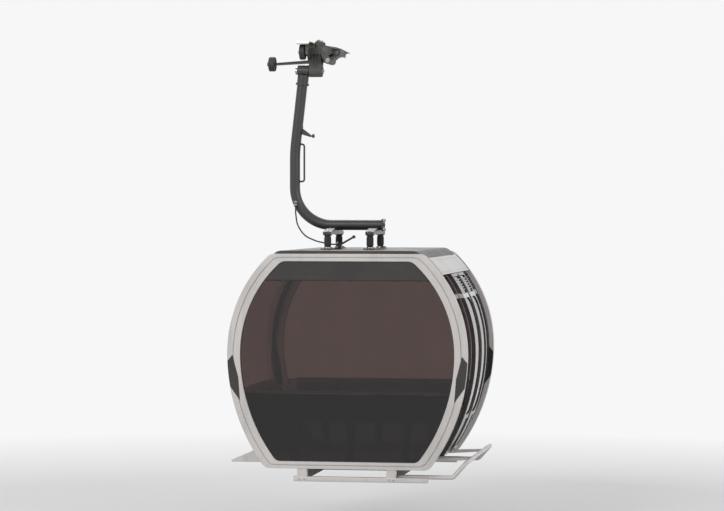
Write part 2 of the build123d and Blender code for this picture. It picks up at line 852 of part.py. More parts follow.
# Roof: a channel between the end frames, and a lid that laps over them
with BuildPart() as roof:
    with BuildSketch(cabin_plane(inner_end)):
        add(cabin_section(outer_recess, -roof_rise, 0))
        add(cabin_section(outer_recess + roof_wall, roof_wall - roof_rise, 0), mode=Mode.SUBTRACT)
        with Locations((0, (roof_rise - roof_drop) / 2)):
            Rectangle(3 * waist_half_width, roof_rise + roof_drop, mode=Mode.INTERSECT)
    extrude(amount=2 * inner_end)
    with BuildSketch(cabin_plane(half_length - 10)):
        add(cabin_section(outer_recess, -roof_rise, 0))
        with Locations((0, roof_rise / 2 + 0.5)):
            Rectangle(3 * waist_half_width, roof_rise - 1, mode=Mode.INTERSECT)
    extrude(amount=2 * half_length - 20)
save(roof.part, "roof")

# Floor between the end frames, from wall to wall
with BuildPart() as floor:
    with BuildSketch(cabin_plane(inner_end)):
        add(cabin_section(floor_inset, 0, 0))
        with Locations((0, -(floor_top_drop + cabin_height) / 2)):
            Rectangle(3 * waist_half_width, floor_thickness, mode=Mode.INTERSECT)
    extrude(amount=2 * inner_end)
save(floor.part, "floor")


def wall_piece(name, sections, cuts, y_range, trolleys=()):
    """Side wall strip along the rope, with rounded windows cut through along X.

    sections is (outer inset, inner inset, side, top drop, bottom drop).
    cuts are (y middle, y width, top drop, bottom drop, corner radius).
    trolleys are (y middle, top drop, bottom drop) of the blocks that run in the door track.
    """
    y_near, y_far = y_range
    with BuildPart() as wall:
        with BuildSketch(cabin_plane(y_far)):
            add(wall_band(*sections))
        extrude(amount=y_far - y_near)
        for y_middle, width, top, bottom, corner in cuts:
            with BuildSketch(side_plane(cabin_x)):
                with Locations((y_middle, -(top + bottom) / 2)):
                    RectangleRounded(width, bottom - top, corner)
            extrude(amount=sections[2] * 1.2 * waist_half_width, mode=Mode.SUBTRACT)
        for y_middle, top, bottom in trolleys:
            with Locations((cabin_x + track_x, y_middle, frame_top - (top + bottom) / 2)):
                Box(track_width - 2 * fit_gap, trolley_length, bottom - top)
    save(wall.part, name)


def wall_fillers(name, sections, cuts, y_range):
    """Panes or panels that fill the cuts of a wall piece, with the fit gap round them."""
    y_near, y_far = y_range
    with BuildPart() as openings:
        for y_middle, width, top, bottom, corner in cuts:
            with BuildSketch(side_plane(cabin_x)):
                with Locations((y_middle, -(top + bottom) / 2)):
                    RectangleRounded(width - 2 * fit_gap, bottom - top - 2 * fit_gap, corner)
            extrude(amount=sections[2] * 1.2 * waist_half_width)
    with BuildPart() as filler:
        with BuildSketch(cabin_plane(y_far)):
            add(wall_band(*sections))
        extrude(amount=y_far - y_near)
        add(openings.part, mode=Mode.INTERSECT)
    save(filler.part, name)


# Outer side: header, one wide window in its frame, and the lower panel
side_reach = (-inner_end + fit_gap, inner_end - fit_gap)
outer_frame_bottom = sill_drop + outer_window_lap
outer_pane = outer_recess + side_pane_inset
outer_window_cut = (
    0, 2 * (inner_end - outer_window_end), eaves_drop + outer_window_head, sill_drop - outer_window_lap,
    large_corner,
)
wall_piece(
    "outer_header", (outer_recess, outer_recess + wall_thickness, -1, roof_drop + fit_gap, eaves_drop),
    (), side_reach,
)
wall_piece(
    "outer_window_frame",
    (outer_recess, outer_recess + wall_thickness, -1, eaves_drop + fit_gap, outer_frame_bottom),
    (outer_window_cut,), side_reach,
)
wall_fillers(
    "outer_window",
    (outer_pane, outer_pane + pane_thickness, -1, eaves_drop, outer_frame_bottom),
    (outer_window_cut,), side_reach,
)
wall_piece(
    "outer_lower_panel",
    (outer_recess, outer_recess + wall_thickness, -1, outer_frame_bottom + fit_gap, floor_top_drop - fit_gap),
    (), side_reach,
)

# Door side: header with the leaves' track, and a fixed panel each side of the doorway behind them,
# with its vent and window level with the leaves'
track_inset = 22.0
track_width = 12.0
track_depth = 16.0
track_x = half_width(eaves_drop, track_inset)
with BuildPart() as door_header:
    with BuildSketch(cabin_plane(side_reach[1])):
        header_inner = outer_recess + roof_wall - door_header_lap
        add(wall_band(door_header_inset, header_inner, 1, roof_drop + fit_gap, eaves_drop))
        with Locations((track_x, -eaves_drop)):
            Rectangle(track_width, 2 * track_depth, mode=Mode.SUBTRACT)
    extrude(amount=2 * side_reach[1])
save(door_header.part, "door_header")
doorway_half = door_width - door_overlap
trolley_reach = 90.0
trolley_length = 70.0
trolley_root = 15.0        # how far the trolleys reach down into the leaf
panel_length = side_reach[1] - doorway_half
panel_middle = (side_reach[1] + doorway_half) / 2
side_pane = recess + side_pane_inset
for name, way in (("front", -1), ("rear", 1)):
    low_y = -side_reach[1] if way < 0 else doorway_half
    cut_width = panel_length - 2 * side_border
    vent_cut = (way * panel_middle, cut_width, *vent_rows, small_corner)
    window_cut = (way * panel_middle, cut_width, *window_rows, side_corner)
    span = (low_y, low_y + panel_length)
    wall_piece(
        f"side_panel_{name}",
        (recess, recess + wall_thickness, 1, eaves_drop + fit_gap, floor_top_drop - fit_gap),
        (vent_cut, window_cut), span,
    )
    wall_fillers(
        f"side_window_{name}",
        (side_pane, side_pane + pane_thickness, 1, eaves_drop, floor_top_drop),
        (vent_cut, window_cut), span,
    )

# Door leaves: each has a vent window, a main window and a dark lower panel
for name, way in (("front", -1), ("rear", 1)):
    low_y = -door_width if way < 0 else door_seam
    leaf_length = door_width - door_seam
    leaf_middle = low_y + leaf_length / 2
    cut_width = leaf_length - 2 * door_border
    vent_cut = (leaf_middle, cut_width, *vent_rows, small_corner)
    window_cut = (leaf_middle, cut_width, *window_rows, large_corner)
    panel_cut = (leaf_middle, cut_width, kick_top, door_bottom - door_border, small_corner)
    span = (low_y, low_y + leaf_length)
    trolley_top = eaves_drop - track_depth + fit_gap
    trolleys = [
        (leaf_middle + step, trolley_top, door_top + trolley_root)
        for step in (-leaf_length / 2 + trolley_reach, leaf_length / 2 - trolley_reach)
    ]
    wall_piece(
        f"door_leaf_{name}", (0, door_thickness, 1, door_top, door_bottom),
        (vent_cut, window_cut, panel_cut), span, trolleys,
    )
    wall_fillers(
        f"door_window_{name}",
        (door_pane_inset, door_pane_inset + pane_thickness, 1, door_top, door_bottom),
        (vent_cut, window_cut), span,
    )
    wall_fillers(
        f"door_kick_panel_{name}",
        (kick_panel_inset, kick_panel_inset + kick_panel_thickness, 1, door_top, door_bottom),
        (panel_cut,), span,
    )

# Benches against the end glazing, facing each other along the rope
seat_drop = floor_top_drop - seat_height
back_top_drop = seat_drop - back_height
bench_wall = -inner_end + fit_gap
bench_half = half_width(seat_drop + cushion_thickness + 60, recess + wall_thickness) - bench_side_gap
for end, way in (("front", 1), ("rear", -1)):
    seat_middle = way * (bench_wall + bench_depth / 2)
    with BuildPart() as bench:
        with Locations((cabin_x, seat_middle, frame_top - seat_drop - cushion_thickness - bench_pan / 2)):
            Box(2 * bench_half - cushion_inset, bench_depth - 20, bench_pan)
        leg_top = floor_top_drop - seat_height + cushion_thickness + bench_pan
        for x in (-leg_spacing, 0, leg_spacing):
            with BuildSketch(side_plane(cabin_x + x - leg_thickness / 2)):
                with BuildLine():
                    Polyline(
                        (way * (bench_wall + leg_setback), -leg_top),
                        (way * (bench_wall + bench_depth - leg_setback), -leg_top),
                        (way * (bench_wall + leg_foot), -floor_top_drop),
                        (way * (bench_wall + leg_setback), -floor_top_drop),
                        close=True,
                    )
                make_face()
            extrude(amount=leg_thickness)
        plate_low = seat_drop + cushion_thickness + bench_pan
        plate_middle = way * (bench_wall + back_plate / 2)
        with Locations((cabin_x, plate_middle, frame_top - (plate_low + back_top_drop) / 2)):
            Box(2 * bench_half - cushion_inset, back_plate, plate_low - back_top_drop)
    save(bench.part, f"{end}_bench_frame")
    with BuildPart() as seat:
        cushion_depth = bench_depth - back_plate - back_thickness - 3 * fit_gap
        cushion_middle = way * (bench_wall + bench_depth - cushion_depth / 2)
        with Locations((cabin_x, cushion_middle, frame_top - seat_drop - cushion_thickness / 2)):
            Box(2 * bench_half - cushion_inset, cushion_depth, cushion_thickness - 2 * fit_gap)
        fillet(seat.edges().filter_by(Axis.Z), 30)
    save(seat.part, f"{end}_seat_cushion")
    back_middle = way * (bench_wall + back_plate + fit_gap + back_thickness / 2)
    with BuildPart() as back:
        back_low = seat_drop + cushion_thickness - fit_gap
        with Locations((cabin_x, back_middle, frame_top - (back_low + back_top_drop) / 2)):
            Box(2 * bench_half - cushion_inset, back_thickness, back_low - back_top_drop)
        fillet(back.edges().filter_by(Axis.Y), 40)
    save(back.part, f"{end}_back_cushion")

# Underframe: two channels along the rope, and the bumper bars across their ends
channel_x = 420.0
channel_width = 90.0
cross_member_inset = 450.0
channel_drop = bumper_drop - bumper_height / 2 - cabin_height
with BuildPart() as underframe:
    for x in (-channel_x, channel_x):
        with Locations((cabin_x + x, 0, frame_top - cabin_height - channel_drop / 2)):
            Box(channel_width, cabin_length - 120, channel_drop)
    for y in (cross_member_inset - half_length, 0, half_length - cross_member_inset):
        with Locations((cabin_x, y, frame_top - cabin_height - channel_drop / 4)):
            Box(2 * channel_x, 60, channel_drop / 2)
save(underframe.part, "underframe")

bumper_left = cabin_x - 500
bumper_right = cabin_x + 760
for name, y in (("front_bumper_bar", -half_length + 25), ("rear_bumper_bar", half_length - 25)):
    with BuildPart() as bumper_bar:
        with Locations(((bumper_left + bumper_right) / 2, y, frame_top - bumper_drop + bumper_height / 2)):
            Box(bumper_right - bumper_left, 50, bumper_height)
        fillet(bumper_bar.edges().filter_by(Axis.X), 10)
        for x in (-channel_x, channel_x):
            with Locations((cabin_x + x, y, frame_top - cabin_height - channel_drop / 2)):
                Box(channel_width, 44, channel_drop - 0.5)
    save(bumper_bar.part, name)

# Outer guide: fins on the lower side wall that carry a long rail
fin_top = cabin_height - 155
fin_tip = cabin_height - 65
fin_base = cabin_height - 45
fin_width = 40.0
guide_length = cabin_length - 200
with BuildPart() as outer_guide_rail:
    for y in (-guide_length / 2 + fin_width, fin_width / 2, guide_length / 2):
        with BuildSketch(cabin_plane(y)):
            with BuildLine():
                Polyline(
                    (-half_width(fin_top) + 60, -fin_top),
                    (-half_width(fin_top) - 10, -fin_top),
                    (-guide_reach, -fin_tip),
                    (-guide_reach, -fin_base),
                    (-half_width(fin_base) + 60, -fin_base),
                    close=True,
                )
            make_face()
            add(cabin_section(outer_recess - 0.2), mode=Mode.SUBTRACT)
        extrude(amount=fin_width)
    with BuildSketch(cabin_plane(guide_length / 2)):
        with Locations((-guide_reach + 20, -(fin_tip + fin_base) / 2)):
            Rectangle(50, fin_base - fin_tip)
    extrude(amount=guide_length)
save(outer_guide_rail.part, "outer_guide_rail")

# Door-side guide: a bent tube below the doorway that also serves as the step's edge
guide_tube_radius = 20.0
guide_y = half_length - 90
guide_bracket_y = 420.0
guide_bracket_width = 40.0
guide_low = frame_top - cabin_height - 70
guide_rise = cabin_height - 65
guide_high = frame_top - guide_rise
guide_turn = guide_reach - 120
with BuildPart() as door_guide_rail:
    with BuildLine() as guide_path:
        FilletPolyline(
            (cabin_x + channel_x + channel_width / 2, -guide_y, guide_low),
            (cabin_x + guide_turn, -guide_y, guide_low),
            (cabin_x + guide_reach, -guide_y + 10, guide_high),
            (cabin_x + guide_reach, guide_y - 10, guide_high),
            (cabin_x + guide_turn, guide_y, guide_low),
            (cabin_x + channel_x + channel_width / 2, guide_y, guide_low),
            radius=40,
        )
    with BuildSketch(Plane(origin=guide_path.wire() @ 0, z_dir=guide_path.wire() % 0)):
        Circle(guide_tube_radius)
    sweep(path=guide_path.wire())
    for y in (-guide_bracket_y, guide_bracket_y + guide_bracket_width):
        with BuildSketch(cabin_plane(y)):
            with BuildLine():
                bracket_top = cabin_height - 60
                bracket_bottom = cabin_height - 25
                Polyline(
                    (half_width(bracket_top, floor_inset), -bracket_top),
                    (guide_reach, 8 - guide_rise),
                    (guide_reach, -14 - guide_rise),
                    (half_width(bracket_bottom, floor_inset), -bracket_bottom),
                    close=True,
                )
            make_face()
            add(cabin_section(floor_inset), mode=Mode.SUBTRACT)
        extrude(amount=guide_bracket_width)
save(door_guide_rail.part, "door_guide_rail")
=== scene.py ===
import math

import bmesh
import bpy
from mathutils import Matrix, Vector


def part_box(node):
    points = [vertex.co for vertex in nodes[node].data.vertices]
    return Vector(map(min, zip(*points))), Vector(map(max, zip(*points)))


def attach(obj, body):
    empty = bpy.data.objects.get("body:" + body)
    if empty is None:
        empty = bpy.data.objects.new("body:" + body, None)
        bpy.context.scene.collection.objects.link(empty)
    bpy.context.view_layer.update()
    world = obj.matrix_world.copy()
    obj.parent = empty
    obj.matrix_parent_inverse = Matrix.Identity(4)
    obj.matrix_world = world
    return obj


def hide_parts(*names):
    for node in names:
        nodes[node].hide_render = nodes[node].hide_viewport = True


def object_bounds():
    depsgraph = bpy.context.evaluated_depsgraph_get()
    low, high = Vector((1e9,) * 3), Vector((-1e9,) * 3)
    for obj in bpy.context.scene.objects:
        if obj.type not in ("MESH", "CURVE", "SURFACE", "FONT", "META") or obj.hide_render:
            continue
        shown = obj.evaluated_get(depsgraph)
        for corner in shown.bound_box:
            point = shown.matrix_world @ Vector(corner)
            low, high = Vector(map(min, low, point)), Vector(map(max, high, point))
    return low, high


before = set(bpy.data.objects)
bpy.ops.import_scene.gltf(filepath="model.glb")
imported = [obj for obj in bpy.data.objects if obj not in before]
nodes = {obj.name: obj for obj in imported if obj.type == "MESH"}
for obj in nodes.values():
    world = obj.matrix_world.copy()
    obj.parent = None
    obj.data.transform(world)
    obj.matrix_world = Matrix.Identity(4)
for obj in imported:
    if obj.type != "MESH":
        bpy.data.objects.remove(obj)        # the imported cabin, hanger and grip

cadLow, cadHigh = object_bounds()
print("frame loaded:", len(nodes), "nodes")


def linkObject(name, data):
    made = bpy.data.objects.new(name, data)
    bpy.context.scene.collection.objects.link(made)
    return made


def aimObject(name, data, spot, aim):
    # a camera or a lamp that stands at one point and looks at another
    made = linkObject(name, data)
    made.location = spot
    made.rotation_mode = "QUATERNION"
    made.rotation_quaternion = (Vector(aim) - Vector(spot)).to_track_quat("-Z", "Y")
    return made


# Camera: far off the near end and a little to the door side, with a long lens
cameraPlace = {
    "spot": (4.53, -25.45, -1.47),
    "aim": (0.24, 0.0, -1.955),
    "lens": 133.0,
    "sensorWidth": 36.0,
    "clipEnd": 200.0,
}
cameraData = bpy.data.cameras.new("mainCamera")
cameraData.lens = cameraPlace["lens"]
cameraData.sensor_width = cameraPlace["sensorWidth"]
cameraData.clip_end = cameraPlace["clipEnd"]
bpy.context.scene.camera = aimObject("mainCamera", cameraData, cameraPlace["spot"], cameraPlace["aim"])
bpy.context.scene.view_settings.view_transform = "Standard"
print("camera placed")


# Small helpers for node trees
def plug(tree, socket, value):
    # a link from another socket, or else a plain value
    if isinstance(value, bpy.types.NodeSocket):
        tree.links.new(value, socket)
    else:
        socket.default_value = value


def addNode(tree, kind, inputs=None, **settings):
    made = tree.nodes.new(kind)
    for key, value in settings.items():
        setattr(made, key, value)
    for key, value in (inputs or {}).items():
        plug(tree, made.inputs[key], value)
    return made


def outputOf(tree, kind, inputs=None, output=0, **settings):
    return addNode(tree, kind, inputs, **settings).outputs[output]


def mathNode(tree, operation, *values):
    return outputOf(tree, "ShaderNodeMath", dict(enumerate(values)), operation=operation)


def product(tree, first, *others):
    for other in others:
        first = mathNode(tree, "MULTIPLY", first, other)
    return first


def rangeNode(tree, value, low, high, toLow=0.0, toHigh=1.0):
    return outputOf(tree, "ShaderNodeMapRange", {
        "Value": value, "From Min": low, "From Max": high, "To Min": toLow, "To Max": toHigh,
    }, "Result")


def opaque(color):
    return color if isinstance(color, bpy.types.NodeSocket) else (*color, 1.0)


def mixColor(tree, factor, first, second):
    return outputOf(tree, "ShaderNodeMix", {0: factor, 6: opaque(first), 7: opaque(second)}, 2,
                    data_type="RGBA")


def mixShader(tree, factor, first, second):
    return outputOf(tree, "ShaderNodeMixShader", {0: factor, 1: first, 2: second})


def joinParts(tree, **parts):
    return outputOf(tree, "ShaderNodeCombineXYZ", parts)


def partOf(tree, vector, axis):
    return outputOf(tree, "ShaderNodeSeparateXYZ", {0: vector}, axis)


def objectPoint(tree):
    return outputOf(tree, "ShaderNodeTexCoord", output="Object")


def faceNormal(tree):
    return outputOf(tree, "ShaderNodeNewGeometry", output="Normal")


def noiseNode(tree, scale, detail, roughness=0.5, place=None):
    if place is None:
        place = objectPoint(tree)
    return outputOf(tree, "ShaderNodeTexNoise", {
        "Vector": place, "Scale": scale, "Detail": detail, "Roughness": roughness,
    }, "Fac")


# Effects: shader groups, which the materials place with values of their own
effects = {}


def newEffect(name, outputs, **inputs):
    # an empty group, with the sockets that lead into it and out of it by their names
    tree = bpy.data.node_groups.new(name, "ShaderNodeTree")
    for socketName, default in inputs.items():
        socket = tree.interface.new_socket(name=socketName, in_out="INPUT", socket_type="NodeSocketFloat")
        socket.default_value = default
    for socketName in outputs:
        kind = "NodeSocketVector" if socketName == "Normal" else "NodeSocketFloat"
        tree.interface.new_socket(name=socketName, in_out="OUTPUT", socket_type=kind)
    effects[name] = tree
    return tree, tree.nodes.new("NodeGroupInput").outputs, tree.nodes.new("NodeGroupOutput").inputs


def makeFineGrain():
    # small even bumps of sprayed paint, and a slow change of tone over the surface
    tree, given, shown = newEffect("fineGrain", ("Height", "Tone"), Scale=900.0, ToneScale=2.0)
    plug(tree, shown["Height"], noiseNode(tree, given["Scale"], detail=2.0, roughness=0.6))
    plug(tree, shown["Tone"], noiseNode(tree, given["ToneScale"], detail=5.0, roughness=0.55))


def makeEdgeWear():
    # worn, rounded edges: where the softened normal turns away from the flat one
    tree, given, shown = newEffect("edgeWear", ("Mask", "Normal"), Radius=0.003, Patches=30.0, Amount=0.5)
    soft = outputOf(tree, "ShaderNodeBevel", {"Radius": given["Radius"]}, samples=4)
    agreement = outputOf(tree, "ShaderNodeVectorMath", {0: soft, 1: faceNormal(tree)}, "Value",
                         operation="DOT_PRODUCT")
    turned = rangeNode(tree, agreement, 0.995, 0.80)
    broken = rangeNode(tree, noiseNode(tree, given["Patches"], detail=6.0, roughness=0.7), 0.42, 0.62)
    plug(tree, shown["Mask"], product(tree, turned, broken, given["Amount"]))
    plug(tree, shown["Normal"], soft)


def makeRainStreaks():
    # grime that rain has drawn down the walls
    tree, given, shown = newEffect("rainStreaks", ("Mask",), Scale=9.0, Amount=0.4)
    drawn = outputOf(tree, "ShaderNodeMapping", {"Vector": objectPoint(tree), "Scale": (1.0, 1.0, 0.07)})
    streak = noiseNode(tree, given["Scale"], detail=7.0, roughness=0.62, place=drawn)
    lines = rangeNode(tree, streak, 0.45, 0.75)
    areas = rangeNode(tree, noiseNode(tree, scale=1.7, detail=3.0), 0.35, 0.65, toLow=0.3)
    plug(tree, shown["Mask"], product(tree, lines, areas, given["Amount"]))


def makeTopDust():
    # dust that settles on what faces up
    tree, given, shown = newEffect("topDust", ("Mask",), Scale=6.0, Amount=0.5)
    upward = rangeNode(tree, partOf(tree, faceNormal(tree), "Z"), 0.35, 0.95)
    spots = rangeNode(tree, noiseNode(tree, given["Scale"], detail=8.0, roughness=0.7), 0.35, 0.7)
    plug(tree, shown["Mask"], product(tree, upward, spots, given["Amount"]))


def makeDrawnLines():
    # fine lines left by turning, grinding or rolling, along one axis of the piece
    tree, given, shown = newEffect("drawnLines", ("Height",), Scale=120.0, AlongX=1.0, AlongY=1.0,
                                   AlongZ=0.05)
    stretch = joinParts(tree, X=given["AlongX"], Y=given["AlongY"], Z=given["AlongZ"])
    scaled = outputOf(tree, "ShaderNodeVectorMath", {0: objectPoint(tree), 1: stretch}, "Vector",
                      operation="MULTIPLY")
    plug(tree, shown["Height"], noiseNode(tree, given["Scale"], detail=4.0, roughness=0.7, place=scaled))


def makeTreadBars():
    # raised bars of a floor sheet, turned by a quarter from one square to the next
    tree, given, shown = newEffect("treadBars", ("Mask",), Scale=28.0)
    across = product(tree, partOf(tree, objectPoint(tree), "X"), given["Scale"])
    along = product(tree, partOf(tree, objectPoint(tree), "Y"), given["Scale"])
    cells = mathNode(tree, "ADD", mathNode(tree, "FLOOR", across), mathNode(tree, "FLOOR", along))
    odd = mathNode(tree, "PINGPONG", cells, 1.0)
    u = mathNode(tree, "SUBTRACT", mathNode(tree, "FRACT", across), 0.5)
    v = mathNode(tree, "SUBTRACT", mathNode(tree, "FRACT", along), 0.5)
    halfLength, halfWidth = 0.44, 0.15      # of a bar, in squares
    shares = []
    for even, uneven, half in ((u, v, halfLength), (v, u, halfWidth)):
        place = outputOf(tree, "ShaderNodeMix", {0: odd, 2: even, 3: uneven})
        share = mathNode(tree, "DIVIDE", mathNode(tree, "ABSOLUTE", place), half)
        shares.append(mathNode(tree, "POWER", share, 2.0))
    bars = rangeNode(tree, mathNode(tree, "ADD", *shares), 1.0, 0.6)
    upward = rangeNode(tree, partOf(tree, faceNormal(tree), "Z"), 0.6, 0.8)
    plug(tree, shown["Mask"], product(tree, bars, upward))


def makeWovenCloth():
    # over and under threads of the seat covers
    tree, given, shown = newEffect("wovenCloth", ("Height", "Thread"), Scale=700.0)
    waves = [
        outputOf(tree, "ShaderNodeTexWave", {
            "Vector": objectPoint(tree), "Scale": given["Scale"], "Distortion": 0.6, "Detail": 1.0,
            "Phase Offset": phase,
        }, "Fac", bands_direction=direction)
        for direction, phase in (("X", 0.0), ("Y", 1.57), ("Z", 0.8))
    ]
    total = mathNode(tree, "ADD", mathNode(tree, "ADD", waves[0], waves[1]), waves[2])
    plug(tree, shown["Height"], product(tree, total, 0.33))         # a third, as three waves are added
    plug(tree, shown["Thread"], noiseNode(tree, scale=260.0, detail=3.0))


for makeEffect in (makeFineGrain, makeEdgeWear, makeRainStreaks, makeTopDust, makeDrawnLines, makeTreadBars,
                   makeWovenCloth):
    makeEffect()
print("effects made:", len(effects))


# Materials
def placeEffect(tree, name, **values):
    return addNode(tree, "ShaderNodeGroup", values, node_tree=effects[name]).outputs


def newMaterial(name, inputs):
    material = bpy.data.materials.new(name)
    material.use_nodes = True
    tree = material.node_tree
    shader = tree.nodes["Principled BSDF"]
    for key, value in inputs.items():
        shader.inputs[key].default_value = value
    return material, tree, shader


def shade(color, factor, lift=0.0):
    return tuple(min(1.0, part * factor + lift) for part in color)


def heightMask(tree, zero, one):
    # 0 at one height and 1 at another
    return rangeNode(tree, partOf(tree, objectPoint(tree), "Z"), zero, one)


def setRelief(tree, shader, relief):
    plug(tree, shader.inputs["Normal"], outputOf(tree, "ShaderNodeBump", relief))


def setSurface(tree, shown):
    plug(tree, tree.nodes["Material Output"].inputs["Surface"], shown)


# Painted, coated and bare hard surfaces share one recipe with their own values
layerTones = {
    "second": 0.82,             # shares of the base colour
    "treadBars": 1.9,
    "rainStreaks": 0.42,
    "streakLift": 0.02,
    "streakRoughness": 0.25,    # what a full layer adds
    "dustRoughness": 0.4,
    "bandEdge": 0.001,
    "reliefHeight": 0.01,
}


def hardFinish(name, base, rough=0.4, metallic=0.0, coat=0.0, coatRough=0.1, second=None, peel=0.02,
               peelScale=900.0, wear=0.3, wearColor=(0.42, 0.41, 0.40), wearRadius=0.003, streaks=0.0,
               dust=0.0, dustColor=(0.30, 0.27, 0.24), lines=0.0, along=(1.0, 1.0, 0.05), tread=0.0,
               band=None, bandColor=(0.56, 0.54, 0.525)):
    material, tree, shader = newMaterial(name, {
        "Metallic": metallic, "Coat Weight": coat, "Coat Roughness": coatRough,
    })
    grain = placeEffect(tree, "fineGrain", Scale=peelScale)
    edges = placeEffect(tree, "edgeWear", Radius=wearRadius, Amount=wear)
    tone = rangeNode(tree, grain["Tone"], 0.35, 0.65)
    color = mixColor(tree, tone, base, second or shade(base, layerTones["second"]))
    roughness = rangeNode(tree, grain["Tone"], 0.3, 0.7, rough * 0.9, min(1.0, rough * 1.15))
    height = product(tree, grain["Height"], peel)
    if band:
        edge = layerTones["bandEdge"]
        above = heightMask(tree, band[0] - edge, band[0] + edge)
        below = heightMask(tree, band[1] + edge, band[1] - edge)
        color = mixColor(tree, product(tree, above, below), color, bandColor)
    if tread:
        bars = placeEffect(tree, "treadBars")["Mask"]
        color = mixColor(tree, bars, color, shade(base, layerTones["treadBars"]))
        height = mathNode(tree, "ADD", height, product(tree, bars, tread))
    grimeColor = shade(base, layerTones["rainStreaks"], layerTones["streakLift"])
    for layer, amount, layerColor, roughening in (
        ("rainStreaks", streaks, grimeColor, layerTones["streakRoughness"]),
        ("topDust", dust, dustColor, layerTones["dustRoughness"]),
    ):
        if amount:
            mask = placeEffect(tree, layer, Amount=amount)["Mask"]
            color = mixColor(tree, mask, color, layerColor)
            roughness = mathNode(tree, "ADD", roughness, product(tree, mask, roughening))
    if wear:
        color = mixColor(tree, edges["Mask"], color, wearColor)
    if lines:
        drawn = placeEffect(tree, "drawnLines", AlongX=along[0], AlongY=along[1], AlongZ=along[2])
        height = mathNode(tree, "ADD", height, product(tree, drawn["Height"], lines))
    plug(tree, shader.inputs["Base Color"], color)
    plug(tree, shader.inputs["Roughness"], roughness)
    setRelief(tree, shader, {
        "Height": height, "Distance": layerTones["reliefHeight"], "Strength": 1.0,
        "Normal": edges["Normal"],
    })
    return material


# Smoked panes: clear to the lamps so that the inside is lit, with rain marks in the tint
def paneFinish(name, tint, lampTint, darkAbove=None, darkTint=(0.06, 0.05, 0.046)):
    material, tree, shader = newMaterial(name, {"Transmission Weight": 1.0, "Roughness": 0.0, "IOR": 1.45})
    streaks = placeEffect(tree, "rainStreaks", Scale=14.0, Amount=0.6)
    color = mixColor(tree, streaks["Mask"], tint, shade(tint, 0.72))
    if darkAbove:
        edge = 2 * layerTones["bandEdge"]
        color = mixColor(tree, heightMask(tree, darkAbove - edge, darkAbove + edge), color, darkTint)
    plug(tree, shader.inputs["Base Color"], color)
    clear = outputOf(tree, "ShaderNodeBsdfTransparent", {"Color": opaque(lampTint)})
    toLamp = outputOf(tree, "ShaderNodeLightPath", output="Is Shadow Ray")
    setSurface(tree, mixShader(tree, toLamp, shader.outputs["BSDF"], clear))
    return material


# Seat covers: a dark woven cloth with a soft sheen
def clothFinish(name, base, second):
    material, tree, shader = newMaterial(name, {
        "Roughness": 0.85, "Sheen Weight": 0.35, "Sheen Roughness": 0.5,
    })
    weave = placeEffect(tree, "wovenCloth")
    grain = placeEffect(tree, "fineGrain", ToneScale=5.0)
    color = mixColor(tree, rangeNode(tree, weave["Thread"], 0.35, 0.65), base, second)
    rubbed = rangeNode(tree, grain["Tone"], 0.5, 0.72, 0.0, 0.6)
    plug(tree, shader.inputs["Base Color"], mixColor(tree, rubbed, color, shade(base, 1.5)))
    setRelief(tree, shader, {"Height": weave["Height"], "Distance": 0.0015, "Strength": 0.8})
    return material


# Levels on the cabin, measured down from the top of its end frames
ringLow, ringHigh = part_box("front_end_frame")


def dropOf(name):
    return ringHigh.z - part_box(name)[0].z


panelLevels = {
    "ventBottom": ringHigh.z - 0.385,   # the small panes end here, and a pale band starts
    "windowTop": ringHigh.z - 0.425,
}

